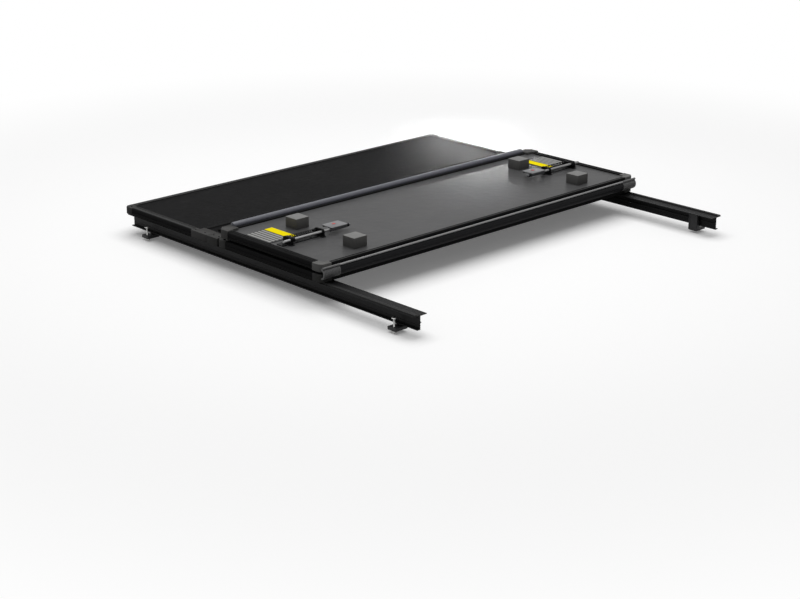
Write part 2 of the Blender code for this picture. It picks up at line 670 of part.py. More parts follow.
def latch_bolt(hand, side):
    """Rod with a wedge tip that is pressed in by the rail's lip, and a spring arm."""
    bm = bmesh.new()
    cylinder(bm, (side * ROD_END_X, ROD_Y, Z_ROD), (side * ROD_TIP_X, ROD_Y, Z_ROD),
             ROD_RADIUS, ROD_SIDES)
    tip_plane = Vector((side * ROD_TIP_X, ROD_Y, Z_ROD - ROD_RADIUS / 2))
    normal = Vector((side, 0, TIP_SLOPE)).normalized()
    everything = bm.verts[:] + bm.edges[:] + bm.faces[:]
    bmesh.ops.bisect_plane(bm, geom=everything, plane_co=tip_plane, plane_no=normal,
                           clear_outer=True)
    bmesh.ops.holes_fill(bm, edges=bm.edges, sides=0)
    bolt = finish(bm, f"latch_bolt_{hand}", "rod", AXES[f"latch_{hand}"], smooth=40)
    bm = bmesh.new()
    side_box(bm, side, ARM_X - ARM / 2, ARM_X + ARM / 2, ROD_Y - ARM_RISE,
             SPRING_Y + ARM_RISE, Z_ROD - ARM_RISE, Z_ROD + ARM_RISE)
    combine(bolt, as_tool(bm, f"latch_arm_{hand}"), "UNION")


def latch_handle(hand, side):
    """Pull plate with a boss that is clamped on the rod."""
    y0 = ROD_Y - LATCH_MARGIN
    y1 = y0 + HANDLE_DEPTH
    top = Z_ROD + ROD_RADIUS + HANDLE_PLATE
    under = top - HANDLE_PLATE
    outline = [(y0, top), (y1, top), (y1, under), (ROD_Y + HANDLE_BOSS, under),
               (ROD_Y + HANDLE_BOSS, Z_ROD - HANDLE_BOSS_DROP),
               (ROD_Y - HANDLE_BOSS, Z_ROD - HANDLE_BOSS_DROP), (ROD_Y - HANDLE_BOSS, under),
               (y0, under)]
    bm = bmesh.new()
    along_x(bm, outline, side * HANDLE_INNER_X, side * HANDLE_OUTER_X)
    round_edges(bm, HANDLE_EDGE, 1)
    handle = finish(bm, f"latch_handle_{hand}", "handle", AXES[f"latch_{hand}"])
    bm = bmesh.new()
    start = (side * (ROD_END_X - FIT), ROD_Y, Z_ROD)
    end = (side * (HANDLE_OUTER_X + ROD_RADIUS), ROD_Y, Z_ROD)
    cylinder(bm, start, end, ROD_RADIUS + FIT, ROD_SIDES)
    combine(handle, as_tool(bm, f"latch_handle_bore_{hand}"), "DIFFERENCE")


def latch_spring(hand, side):
    """Coil spring between the inner lug and the arm on the rod."""
    start = LUG_INNER_X + LUG / 2 + SPRING_WIRE + FIT
    end = ARM_X - ARM / 2 - SPRING_WIRE - FIT
    steps = SPRING_TURNS * SPRING_STEPS
    curve = bpy.data.curves.new(f"latch_spring_{hand}", "CURVE")
    curve.dimensions = "3D"
    curve.bevel_depth = SPRING_WIRE
    curve.bevel_resolution = 2
    curve.use_fill_caps = True
    spline = curve.splines.new("POLY")
    spline.points.add(steps)
    for step in range(steps + 1):
        turn = 2 * math.pi * step / SPRING_STEPS
        x = start + (end - start) * step / steps
        y = SPRING_Y + SPRING_RADIUS * math.cos(turn)
        z = Z_ROD + SPRING_RADIUS * math.sin(turn)
        spline.points[step].co = (side * x, y, z, 1)
    curve.materials.append(material("steel"))
    spring = bpy.data.objects.new(curve.name, curve)
    PARTS.objects.link(spring)
    hang(spring, REAR_AXIS)


# ---------------------------------------------------------------- rails and seals
def rail_outline(side):
    top, bottom = RAIL_TOP, RAIL_BOTTOM
    under = top - RAIL_WALL
    wall_in, wall_out = RAIL_WALL_X, RAIL_WALL_X + RAIL_WALL
    outline = [(RAIL_LIP_X, top), (RAIL_OUTER_X, top), (RAIL_OUTER_X, under), (wall_out, under),
               (wall_out, bottom + RAIL_WALL), (wall_in + RAIL_FOOT, bottom + RAIL_WALL),
               (wall_in + RAIL_FOOT, bottom), (wall_in, bottom),
               (wall_in, RIB_TOP - RAIL_WALL), (wall_in - RAIL_RIB, RIB_TOP - RAIL_WALL),
               (wall_in - RAIL_RIB, RIB_TOP), (wall_in, RIB_TOP), (wall_in, under),
               (RAIL_LIP_X, under)]
    return [(side * x, z) for x, z in outline]


def build_rails():
    for hand, side in both_sides():
        bm = bmesh.new()
        along_y(bm, rail_outline(side), RAIL_START_Y, RAIL_END_Y)
        finish(bm, f"side_rail_{hand}", "rail", DATUM_EMPTY)
        bm = bmesh.new()
        reach = RAIL_SEAL_WIDTH / 2
        side_box(bm, side, RAIL_SEAL_X - reach, RAIL_SEAL_X + reach, RAIL_END_Y, RAIL_START_Y,
                 RAIL_TOP + FIT, RAIL_TOP + FIT + RAIL_SEAL_HEIGHT)
        round_edges(bm, SEAL_EDGE)
        finish(bm, f"rail_seal_{hand}", "rubber", DATUM_EMPTY)
        for place, y in zip(("front", "rear"), CLAMP_YS):
            build_clamp(f"{place}_{hand}", side, y)
    bm = bmesh.new()
    run = HALF - BULKHEAD_SEAL_INSET
    top = -BULKHEAD_SEAL_DROP
    box(bm, (-run, FIT, top - BULKHEAD_SEAL_HEIGHT), (run, Y_FRONT_MOST, top))
    round_edges(bm, SEAL_EDGE)
    finish(bm, "bulkhead_seal", "rubber", DATUM_EMPTY)


def build_clamp(suffix, side, y):
    """Clamp that hooks over the rail's rib and reaches under the bed flange."""
    near_rib = RAIL_WALL_X - RAIL_RIB - FIT
    near_wall = RAIL_WALL_X - FIT
    back = near_rib - CLAMP_SPINE
    nose = CLAMP_SCREW_X + CLAMP_NOSE
    outline = [(back, CLAMP_TOP), (near_wall, CLAMP_TOP), (near_wall, RIB_TOP + FIT),
               (near_rib, RIB_TOP + FIT), (near_rib, RIB_TOP - RAIL_WALL - FIT),
               (near_wall, RIB_TOP - RAIL_WALL - FIT), (near_wall, ARM_TOP), (nose, ARM_TOP),
               (nose, ARM_BOTTOM), (back, ARM_BOTTOM)]
    reach = CLAMP_WIDTH / 2
    bm = bmesh.new()
    along_y(bm, [(side * x, z) for x, z in outline], y - reach, y + reach)
    round_edges(bm, CLAMP_EDGE, 1)
    clamp = finish(bm, f"clamp_{suffix}", "cap", DATUM_EMPTY)
    x = side * CLAMP_SCREW_X
    bm = bmesh.new()
    cylinder(bm, (x, y, ARM_BOTTOM - CLAMP_NOSE), (x, y, ARM_TOP + CLAMP_NOSE),
             CLAMP_SCREW_RADIUS + FIT, CLAMP_SCREW_SIDES)
    combine(clamp, as_tool(bm, f"clamp_bore_{suffix}"), "DIFFERENCE")
    clamp_bolt(suffix, x, y)


def clamp_bolt(suffix, x, y):
    foot_top = RAIL_TOP - RAIL_WALL - CLAMP_GRIP
    head_top = BOLT_BOTTOM + CLAMP_HEAD_HEIGHT
    bm = bmesh.new()
    cylinder(bm, (x, y, BOLT_BOTTOM), (x, y, head_top), CLAMP_HEAD_RADIUS, 6)
    bolt = finish(bm, f"clamp_bolt_{suffix}", "steel", AXES[f"clamp_{suffix}"])
    bm = bmesh.new()
    cylinder(bm, (x, y, head_top - CLAMP_SCREW_RADIUS), (x, y, foot_top - CLAMP_FOOT_HEIGHT / 2),
             CLAMP_SCREW_RADIUS, CLAMP_SCREW_SIDES)
    combine(bolt, as_tool(bm, f"clamp_screw_{suffix}"), "UNION")
    bm = bmesh.new()
    cylinder(bm, (x, y, foot_top - CLAMP_FOOT_HEIGHT), (x, y, foot_top),
             CLAMP_FOOT_RADIUS, CLAMP_SCREW_SIDES)
    combine(bolt, as_tool(bm, f"clamp_foot_{suffix}"), "UNION")


# ---------------------------------------------------------------- assembly
clear_scene()
PARTS = new_collection("tonneau_cover")
TOOLS = new_collection("cutters")
AXIS_PLACES = {
    "front_hinge_axis": Vector((0, Y_FRONT_AXIS, AXIS_HEIGHT)),
    "middle_hinge_axis": Vector((0, Y_MIDDLE_AXIS, AXIS_HEIGHT)),
    "rear_hinge_axis": Vector((0, Y_REAR_AXIS, AXIS_HEIGHT)),
}
DATUM_EMPTY = bpy.data.objects.new("cover_datum", None)
DATUM_EMPTY.location = DATUM
PARTS.objects.link(DATUM_EMPTY)
FRONT_AXIS = empty("front_hinge_axis", AXIS_PLACES["front_hinge_axis"], DATUM_EMPTY)
MIDDLE_AXIS = empty("middle_hinge_axis", AXIS_PLACES["middle_hinge_axis"], FRONT_AXIS)
REAR_AXIS = empty("rear_hinge_axis", AXIS_PLACES["rear_hinge_axis"], MIDDLE_AXIS)
AXES = {}
for hand_name, sign in both_sides():
    latch_axis = f"latch_axis_{hand_name}"
    AXIS_PLACES[latch_axis] = Vector((sign * ROD_TIP_X, ROD_Y, Z_ROD))
    AXES[f"latch_{hand_name}"] = empty(latch_axis, AXIS_PLACES[latch_axis], REAR_AXIS)
    for clamp_place, clamp_y in zip(("front", "rear"), CLAMP_YS):
        clamp_axis = f"clamp_axis_{clamp_place}_{hand_name}"
        AXIS_PLACES[clamp_axis] = Vector((sign * CLAMP_SCREW_X, clamp_y, BOLT_BOTTOM))
        AXES[f"clamp_{clamp_place}_{hand_name}"] = empty(
            clamp_axis, AXIS_PLACES[clamp_axis], DATUM_EMPTY)

build_front_panel()
build_link()
build_middle_panel()
build_fold_seal()
build_rear_panel()
build_rails()
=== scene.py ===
"""Dressed tonneau cover: hard folding panels, hinges, latches, seals, rails and clamps."""
import json
import math

import bmesh
import bpy
from mathutils import Matrix, Vector


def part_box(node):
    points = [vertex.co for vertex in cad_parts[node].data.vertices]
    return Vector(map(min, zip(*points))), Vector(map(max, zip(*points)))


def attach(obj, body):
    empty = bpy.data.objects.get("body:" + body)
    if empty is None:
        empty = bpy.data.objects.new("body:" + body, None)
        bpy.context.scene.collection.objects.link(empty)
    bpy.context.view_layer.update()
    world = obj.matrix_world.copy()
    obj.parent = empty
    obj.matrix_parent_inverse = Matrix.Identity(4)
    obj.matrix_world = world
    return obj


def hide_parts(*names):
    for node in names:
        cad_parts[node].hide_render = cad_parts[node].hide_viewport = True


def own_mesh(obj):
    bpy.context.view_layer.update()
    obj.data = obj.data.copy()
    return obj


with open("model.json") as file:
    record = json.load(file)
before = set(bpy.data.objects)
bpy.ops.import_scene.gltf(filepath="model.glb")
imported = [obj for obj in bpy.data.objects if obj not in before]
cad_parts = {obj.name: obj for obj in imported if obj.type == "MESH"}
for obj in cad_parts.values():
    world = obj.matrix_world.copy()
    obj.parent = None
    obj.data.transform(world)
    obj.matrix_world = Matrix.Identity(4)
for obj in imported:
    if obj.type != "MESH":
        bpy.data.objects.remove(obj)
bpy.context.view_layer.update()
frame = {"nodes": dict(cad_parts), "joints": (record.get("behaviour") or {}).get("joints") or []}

# ---------------- sizes taken from the frame
FRONT_LOW, FRONT_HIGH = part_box("front_panel_bulkhead_frame")
ORIGIN = Vector((0, FRONT_HIGH.y, FRONT_HIGH.z))   # front edge of the panels, top of the frames


def node_box(node):
    """Corners of a CAD node, measured from the front edge and the top of the frames."""
    low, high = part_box(node)
    return low - ORIGIN, high - ORIGIN


SIDES = (("left", -1), ("right", 1))
JOINTS = {joint["name"]: joint for joint in frame["joints"]}
Y_FRONT_AXIS, Y_MIDDLE_AXIS, Y_REAR_AXIS = (
    JOINTS[name]["pos_m"][1] - ORIGIN.y for name in ("front_hinge", "middle_hinge", "rear_hinge"))
Z_AXIS = JOINTS["rear_hinge"]["pos_m"][2] - ORIGIN.z
FOLD_GAP = 2 * Z_AXIS
HALF = node_box("tailgate_cap_right")[1].x
FRAME_HEIGHT = FRONT_HIGH.z - FRONT_LOW.z
END_BAND = FRONT_HIGH.y - FRONT_LOW.y
SHEET_BOTTOM, SHEET_TOP = (corner.z for corner in node_box("front_panel_sheet"))
TUBE_LOW, TUBE_HIGH = node_box("tailgate_bulb_seal")
TUBE_RADIUS = (TUBE_HIGH.z - TUBE_LOW.z) / 2
TUBE_Y = (TUBE_HIGH.y + TUBE_LOW.y) / 2
TUBE_Z = (TUBE_HIGH.z + TUBE_LOW.z) / 2
BOLT_LOW, BOLT_HIGH = node_box("latch_bolt_right")
SPRING_LOW, SPRING_HIGH = node_box("latch_spring_right")

# ---------------- sizes that pieces share
CLEARANCE = 0.0003
SHEET_GRIP = 0.008              # depth of the slot that grips a sheet
TAIL_OVERLAP = 0.014            # how much further the rear sheet reaches into the tailgate frame
HINGE_OVERLAP = 0.010           # and into its hinge frame
FRAME_EDGE = 0.0025             # rounding of the cross frames
RIDGE_WIDTH = 0.008             # raised edges of the hinge deck and of the link
RECESS = 0.004                  # depth of the ribbed trough between them
LINK_END = 0.050                # moulded ends of the link
PIN_INSET = 0.0020              # pin's ends inside the outermost barrels
KNUCKLE_HALF_RUN = node_box("rear_hinge_pin")[1].x + PIN_INSET
KNUCKLE_RADIUS = 0.0042
KNUCKLES = 5
LEAF_SINK = 0.0012              # hinge leaf let into its frame

ROD_RADIUS = 0.0050
ARM_RADIUS = 0.0080             # of the spring arm round the rod, where the bolt's box starts
LUG_INSET = 0.032               # outer lug inside the end of the latch base
LUG_SPACING = 0.142
ARM_INSET = 0.0098              # spring arm inside the outer lug
ROD_Y = BOLT_LOW.y + ARM_RADIUS
ROD_Z = (SPRING_HIGH.z + SPRING_LOW.z) / 2
SPRING_Y = (SPRING_HIGH.y + SPRING_LOW.y) / 2
GUIDE_RADIUS = 0.0036           # peg inside each end of the spring
HANDLE_INNER_X = node_box("latch_handle_right")[0].x
LUG_OUTER_X = node_box("latch_base_right")[1].x - LUG_INSET
LUG_INNER_X = LUG_OUTER_X - LUG_SPACING
ARM_X = LUG_OUTER_X - ARM_INSET

# ---------------- materials
SCUFF_BAND = (0.60, 0.78)       # noise values between which a scuff comes in
RELIEF_SHARE = 0.3              # depth of the relief against its grain


def feed(tree, node, inputs):
    """Gives each named input a value, or links another node's output to it."""
    for name, value in inputs.items():
        if isinstance(value, bpy.types.NodeSocket):
            tree.links.new(value, node.inputs[name])
        else:
            node.inputs[name].default_value = value


def add_node(tree, kind, output, inputs, **settings):
    """Adds a shader node and returns one of its outputs."""
    node = tree.nodes.new(f"ShaderNode{kind}")
    for name, value in settings.items():
        setattr(node, name, value)
    feed(tree, node, inputs)
    return node.outputs[output]


def mix_colours(tree, factor, first, second):
    return add_node(tree, "Mix", "Result", {"Factor": factor, "A": first, "B": second},
                    data_type="RGBA")


def new_material(name):
    """New material, its node tree and its shader."""
    made = bpy.data.materials.new(name)
    made.use_nodes = True
    return made, made.node_tree, made.node_tree.nodes["Principled BSDF"]


def surface(name, colour, roughness, grain, spread, cloud, metallic=0.0, specular=0.5,
            rough_spread=0.08, grain_size=0.001, stretch=(1, 1, 1), pores=False,
            scuff=None, ripple=None):
    """Principled surface with mottled colour, uneven gloss and a fine relief.

    scuff is (amount, size, colour) and ripple is (depth, size).
    """
    made, tree, shader = new_material(name)
    place = add_node(tree, "TexCoord", "Object", {})
    place = add_node(tree, "Mapping", "Vector", {"Vector": place, "Scale": stretch})

    def noise(size, detail):
        return add_node(tree, "TexNoise", "Fac",
                        {"Vector": place, "Scale": 1 / size, "Detail": detail})

    broad = noise(cloud, 4)
    shown = mix_colours(tree, broad, (*[c * (1 - spread) for c in colour], 1),
                        (*[min(1, c * (1 + spread)) for c in colour], 1))
    if scuff:
        amount, size, scuff_colour = scuff
        mask = add_node(tree, "MapRange", "Result",
                        {"Value": noise(size, 8), "From Min": SCUFF_BAND[0],
                         "From Max": SCUFF_BAND[1], "To Max": amount})
        shown = mix_colours(tree, mask, shown, (*scuff_colour, 1))
    gloss = add_node(tree, "MapRange", "Result",
                     {"Value": broad, "To Min": roughness - rough_spread,
                      "To Max": roughness + rough_spread})
    if pores:
        fine = add_node(tree, "TexVoronoi", "Distance",
                        {"Vector": place, "Scale": 1 / grain_size})
    else:
        fine = noise(grain_size, 3)
    relief = {"Height": fine, "Strength": grain, "Distance": grain_size * RELIEF_SHARE}
    if ripple:
        depth, size = ripple
        relief["Normal"] = add_node(tree, "Bump", "Normal",
                                    {"Height": noise(size, 3), "Strength": 1, "Distance": depth})
    feed(tree, shader, {"Base Color": shown, "Metallic": metallic, "Roughness": gloss,
                        "Specular IOR Level": specular,
                        "Normal": add_node(tree, "Bump", "Normal", relief)})
    return made


def moulded(name, colour, specular, worn):
    """Grained plastic of the corner caps and the link's ends."""
    return surface(name, colour, 0.65, specular=specular, grain=0.35, grain_size=0.0007,
                   spread=0.15, cloud=0.03, scuff=(0.12, 0.008, worn))


def cellular(name, colour, specular):
    """Matt foamed rubber with open pores."""
    return surface(name, colour, 0.85, specular=specular, grain=0.5, grain_size=0.0013,
                   pores=True, spread=0.14, cloud=0.015)


SKIN = surface("pebbled_skin", (0.0055, 0.0055, 0.0058), 0.42, specular=0.005, grain=0.6,
               grain_size=0.0016, pores=True, spread=0.25, rough_spread=0.06, cloud=0.22,
               scuff=(0.05, 0.05, (0.10, 0.10, 0.10)), ripple=(0.0011, 0.022))
UNDERSIDE = surface("sheet_underside", (0.068, 0.068, 0.069), 0.38, specular=0.052, grain=0.30,
                    grain_size=0.0018, spread=0.35, rough_spread=0.06, cloud=0.09,
                    scuff=(0.10, 0.03, (0.16, 0.16, 0.16)), ripple=(0.0008, 0.030))
EXTRUSION = surface("black_extrusion", (0.0115, 0.0115, 0.0118), 0.55, specular=0.012, grain=0.12,
                    grain_size=0.0007, spread=0.2, cloud=0.06,
                    scuff=(0.08, 0.012, (0.06, 0.06, 0.06)))
# Lighter copy of the black extrusion for the faces that look up: a painted highlight of the light
# from above, under real scuffs.
LIT_TOP_EXTRUSION = surface("rubbed_edge", (0.030, 0.030, 0.030), 0.55, specular=0.05, grain=0.12,
                      grain_size=0.0007, spread=0.2, cloud=0.04,
                      scuff=(0.10, 0.012, (0.08, 0.08, 0.08)))
# One plastic in three tones for the caps and the link's ends; the differences are painted light
# and shade, lighter on the caps in the light and darker on those in shade.
MOULDING = moulded("charcoal_moulding", (0.142, 0.141, 0.138), 0.08, (0.20, 0.20, 0.195))
TAIL_MOULDING = moulded("tail_cap_moulding", (0.063, 0.062, 0.061), 0.06, (0.12, 0.12, 0.115))
DARK_MOULDING = moulded("dark_cap_moulding", (0.046, 0.046, 0.045), 0.05, (0.12, 0.12, 0.115))
TUBE_RUBBER = surface("tube_rubber", (0.089, 0.093, 0.113), 0.36, specular=0.40, grain=0.06,
                      grain_size=0.0009, spread=0.10, cloud=0.08)
STRIP_RUBBER = surface("strip_rubber", (0.010, 0.010, 0.011), 0.50, specular=0.06, grain=0.08,
                       grain_size=0.0009, spread=0.15, cloud=0.05)
# Pale tone of the seal's bead: a painted highlight line along the top of the dark strip.
HIGHLIGHT_BEAD = surface("pale_bead", (0.27, 0.27, 0.272), 0.34, grain=0.05, grain_size=0.0009,
                      spread=0.12, cloud=0.06)
END_RUBBER = surface("moulded_end", (0.120, 0.120, 0.121), 0.46, specular=0.3, grain=0.2,
                     grain_size=0.0008, spread=0.15, cloud=0.02)
BLACK_RUBBER = surface("black_rubber", (0.012, 0.012, 0.012), 0.55, specular=0.2, grain=0.15,
                       grain_size=0.0008, spread=0.2, cloud=0.05)
BLOCK_RUBBER = cellular("cellular_rubber", (0.115, 0.114, 0.111), 0.10)
# Lighter copy of the block rubber for the tops: a painted highlight of the light from above.
LIT_BLOCK_TOP = cellular("rubbed_block_top", (0.220, 0.219, 0.215), 0.15)
RAIL_METAL = surface("anodised_rail", (0.010, 0.010, 0.0105), 0.45, specular=0.10, grain=0.12,
                     grain_size=0.0012, stretch=(1, 0.02, 1), spread=0.2, cloud=0.02,
                     scuff=(0.10, 0.02, (0.10, 0.10, 0.10)))
ZINC = surface("zinc_plating", (0.50, 0.50, 0.49), 0.34, metallic=1.0, grain=0.1, spread=0.15,
               cloud=0.01)
GROUND_STEEL = surface("ground_rod", (0.20, 0.20, 0.20), 0.42, metallic=0.85, grain=0.12,
                       grain_size=0.0008, stretch=(1, 0.1, 0.1), spread=0.1, cloud=0.01)
BLACK_STEEL = surface("black_coated_steel", (0.007, 0.007, 0.0075), 0.45, specular=0.06,
                      grain=0.15, grain_size=0.0006, spread=0.2, cloud=0.01,
                      scuff=(0.12, 0.006, (0.08, 0.08, 0.08)))
HANDLE_GREY = surface("handle_grey", (0.150, 0.152, 0.158), 0.48, specular=0.3, grain=0.15,
                      grain_size=0.0006, spread=0.06, cloud=0.02,
                      scuff=(0.15, 0.006, (0.12, 0.12, 0.125)))
RED_MARK = surface("red_mark", (0.55, 0.05, 0.04), 0.5, specular=0.25, grain=0.08, spread=0.1,
                   cloud=0.01)
PLATE_GREY = surface("pale_ribs", (0.31, 0.31, 0.30), 0.55, specular=0.10, grain=0.1,
                     grain_size=0.0008, spread=0.10, cloud=0.03,
                     scuff=(0.2, 0.01, (0.13, 0.13, 0.13)))
PLATE_DARK = surface("dark_plate", (0.055, 0.055, 0.056), 0.55, specular=0.06, grain=0.1,
                     grain_size=0.0008, spread=0.10, cloud=0.03)
YELLOW = surface("yellow_band", (0.93, 0.76, 0.004), 0.70, specular=0.02, grain=0.05,
                 grain_size=0.0008, spread=0.04, cloud=0.03)
CAST_ALLOY = surface("cast_alloy", (0.025, 0.025, 0.026), 0.48, metallic=0.3, specular=0.3,
                     grain=0.4, grain_size=0.0009, spread=0.2, cloud=0.02,
                     scuff=(0.15, 0.008, (0.10, 0.10, 0.10)))

# ---------------- shaping
SAME_POINT = 0.00002            # points of an outline or a coil closer than this are one
WELD = 0.00001                  # and so are a solid's
STEEP = 60                      # degrees: edges eased on plates and bars with round outlines


def tidy_outline(points):
    """Outline without points that repeat the one before."""
    kept = []
    for point in points:
        if not kept or math.dist(point, kept[-1]) > SAME_POINT:
            kept.append(tuple(point))
    if math.dist(kept[0], kept[-1]) <= SAME_POINT:
        kept.pop()
    return kept


def extrude(bm, outline, travel):
    """Solid from a closed outline of 3-D points, drawn out along travel."""
    face = bm.faces.new([bm.verts.new(point) for point in tidy_outline(outline)])
    grown = bmesh.ops.extrude_face_region(bm, geom=[face], use_keep_orig=True)
    moved = [item for item in grown["geom"] if isinstance(item, bmesh.types.BMVert)]
    bmesh.ops.translate(bm, vec=Vector(travel), verts=moved)
    return list(face.verts) + moved


def bar_along_x(bm, outline, x0, x1):
    return extrude(bm, [(x0, y, z) for y, z in outline], (x1 - x0, 0, 0))


def bar_along_y(bm, outline, y0, y1):
    return extrude(bm, [(x, y0, z) for x, z in outline], (0, y1 - y0, 0))


def slab(bm, outline, z0, z1):
    return extrude(bm, [(x, y, z0) for x, y in outline], (0, 0, z1 - z0))


def box(bm, low, high):
    low, high = Vector(low), Vector(high)
    place = Matrix.Translation((low + high) / 2) @ Matrix.Diagonal((*(high - low), 1))
    return bmesh.ops.create_cube(bm, size=1, matrix=place)["verts"]


def rod(bm, start, end, radius, sides):
    start, end = Vector(start), Vector(end)
    turn = (end - start).to_track_quat("Z", "Y").to_matrix().to_4x4()
    place = Matrix.Translation((start + end) / 2) @ turn
    made = bmesh.ops.create_cone(bm, cap_ends=True, segments=sides, radius1=radius,
                                 radius2=radius, depth=(end - start).length, matrix=place)
    return made["verts"]


def turned(bm, profile, start, axis, sides):
    """Round solid from a closed profile of (distance along the axis, radius) pairs."""
    start, axis = Vector(start), Vector(axis).normalized()
    across = axis.orthogonal().normalized()
    known = set(bm.verts)
    verts = [bm.verts.new(start + axis * along + across * radius) for along, radius in profile]
    edges = [bm.edges.new(pair) for pair in zip(verts, verts[1:])]
    bmesh.ops.spin(bm, geom=verts + edges, cent=start, axis=axis, dvec=(0, 0, 0),
                   angle=math.tau, steps=sides, use_merge=True, use_duplicate=False)
    bmesh.ops.remove_doubles(bm, verts=[vert for vert in bm.verts if vert not in known],
                             dist=WELD)


def sleeve(bm, start, axis, ends, bore, radius):
    """Round sleeve between two distances along the axis."""
    near, far = ends
    turned(bm, [(near, bore), (near, radius), (far, radius), (far, bore), (near, bore)],
           start, axis, 24)


def arc(centre, radius, first, last, steps):
    """Points on a circle between two angles given in degrees."""
    points = []
    for step in range(steps + 1):
        angle = math.radians(first + (last - first) * step / steps)
        points.append((centre[0] + radius * math.cos(angle), centre[1] + radius * math.sin(angle)))
    return points


def grooved(start, end, centres, width, into):
    """Straight stretch of an outline with shallow grooves; centres are distances from start."""
    start, end, into = Vector(start), Vector(end), Vector(into)
    along = (end - start).normalized() * width
    points = [start]
    for centre in centres:
        middle = start + along.normalized() * centre
        points += [middle - along * 0.5, middle - along * 0.3 + into,
                   middle + along * 0.3 + into, middle + along * 0.5]
    return [tuple(point) for point in points + [end]]


def rounded_plan(x0, x1, y0, y1, radius, steps=5):
    """Rectangle seen from above with rounded corners."""
    x0, x1 = sorted((x0, x1))
    corners = ((x1 - radius, y1 - radius, 0), (x0 + radius, y1 - radius, 90),
               (x0 + radius, y0 + radius, 180), (x1 - radius, y0 + radius, 270))
    points = []
    for x, y, first in corners:
        points += arc((x, y), radius, first, first + 90, steps)
    return points


def soften(bm, width, segments, least=35, verts=None):
    """Rounds each outer edge of at least that many degrees, or only those among verts."""
    bmesh.ops.recalc_face_normals(bm, faces=bm.faces)
    chosen = set(verts) if verts else None
    sharp = [edge for edge in bm.edges
             if edge.is_manifold and edge.is_convex
             and edge.calc_face_angle() > math.radians(least)
             and (chosen is None or set(edge.verts) <= chosen)]
    bmesh.ops.bevel(bm, geom=sharp, offset=width, offset_type="OFFSET", segments=segments,
                    profile=0.5, affect="EDGES", clamp_overlap=True, material=-1)


def broadest(faces, facing):
    """Largest of the faces that look up, or down where facing is -1."""
    level = [face for face in faces if face.normal.z * facing > 0.95]
    return max(level, key=lambda face: face.calc_area())


def sink_panel(bm, faces, border, slope, depth):
    """Sinks the middle of the faces inside a border and a short slope."""
    bmesh.ops.inset_region(bm, faces=faces, thickness=border, depth=0)
    bmesh.ops.inset_region(bm, faces=faces, thickness=slope, depth=-depth)


def cad_copy(node):
    """A node's own solid, merged and with its flat faces whole again."""
    bm = bmesh.new()
    bm.from_mesh(frame["nodes"][node].data)
    bmesh.ops.remove_doubles(bm, verts=bm.verts, dist=WELD)
    bmesh.ops.dissolve_limit(bm, angle_limit=math.radians(1), verts=bm.verts, edges=bm.edges)
    bmesh.ops.translate(bm, vec=-ORIGIN, verts=bm.verts)
    bmesh.ops.recalc_face_normals(bm, faces=bm.faces)
    return bm


def add_object(name, data):
    made = bpy.data.objects.new(name, data)
    bpy.context.scene.collection.objects.link(made)
    return made


def piece(bm, name, materials, body, node, smooth=40):
    """Finishes a solid as a named piece that rides on a body in place of a CAD node."""
    bmesh.ops.recalc_face_normals(bm, faces=bm.faces)
    bmesh.ops.translate(bm, vec=ORIGIN, verts=bm.verts)
    mesh = bpy.data.meshes.new(name)
    bm.to_mesh(mesh)
    bm.free()
    mesh.shade_smooth()
    mesh.set_sharp_from_angle(angle=math.radians(smooth))
    for material in materials:
        mesh.materials.append(material)
    made = add_object(name, mesh)
    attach(made, body)
    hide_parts(node)
    return made


def finish_new(bm, known, index):
    """Gives the faces added since known the finish with that index."""
    for face in bm.faces:
        if face not in known:
            face.material_index = index


def screw(bm, centre, axis, radius, height, index=1):
    """Button head with a hex socket, standing on centre and facing along axis."""
    known = set(bm.faces)
    turned(bm, [(0, 0), (0, radius), (height * 0.45, radius), (height, radius * 0.72),
                (height, radius * 0.42), (height * 0.35, radius * 0.36), (height * 0.35, 0)],
           centre, axis, 18)
    finish_new(bm, known, index)


def paint_lit_level_faces(bm, level):
    """Gives the level faces at that height the finish with index 1, a lighter tone that paints the
    highlight of the light from above.
    """
    near = 0.0004
    bm.normal_update()
    for face in bm.faces:
        if abs(face.normal.z) > 0.9 and all(abs(v.co.z - level) < near for v in face.verts):
            face.material_index = 1


def as_is(z):
    return z


def folded_over(z):
    return FOLD_GAP - z


# ---------------- sheets
def build_sheets():
    """Sandwich boards with a pebbled skin on their weather side."""
    for panel, body, weather_up in (("front", "root", True), ("middle", "middle", True),
                                    ("rear", "rear", False)):
        bm = cad_copy(f"{panel}_panel_sheet")
        if panel == "rear":
            ends = [vert.co.y for vert in bm.verts]
            for edge, reach in ((max(ends), TAIL_OVERLAP), (min(ends), -HINGE_OVERLAP)):
                moved = [vert for vert in bm.verts if abs(edge - vert.co.y) < CLEARANCE]
                bmesh.ops.translate(bm, verts=moved, vec=(0, reach, 0))
        for face in bm.faces:
            facing = face.normal.z if weather_up else -face.normal.z
            face.material_index = 0 if facing > 0.5 else 1
        piece(bm, f"{panel}_sandwich_sheet", [SKIN, UNDERSIDE], body, f"{panel}_panel_sheet")


# ---------------- frames
def slot(band):
    """Slot in a frame's inner face that grips the sheet, drawn from below."""
    floor = band - SHEET_GRIP - CLEARANCE
    below, above = SHEET_BOTTOM - CLEARANCE, SHEET_TOP + CLEARANCE
    return [(band, below), (floor, below), (floor, above)]


def side_section(band):
    """Side extrusion: distance in from the outer face, and height."""
    shoulder, foot = 0.0070, 0.0058
    top = grooved((band, 0), (shoulder, 0), centres=(0.0045, 0.0095), width=0.0020,
                  into=(0, -0.0012))
    face = grooved((0, -shoulder), (0, foot - FRAME_HEIGHT), centres=(0.0060,), width=0.0032,
                   into=(0.0014, 0))
    under = grooved((foot, -FRAME_HEIGHT), (band, -FRAME_HEIGHT),
                    centres=(0.0035, 0.0085, 0.0165), width=0.0022, into=(0, 0.0015))
    return (top + arc((shoulder, -shoulder), shoulder, 90, 180, 8) + face
            + arc((foot, foot - FRAME_HEIGHT), foot, 180, 270, 7) + under + slot(band)
            + [(band, SHEET_TOP + CLEARANCE), (band, 0)])


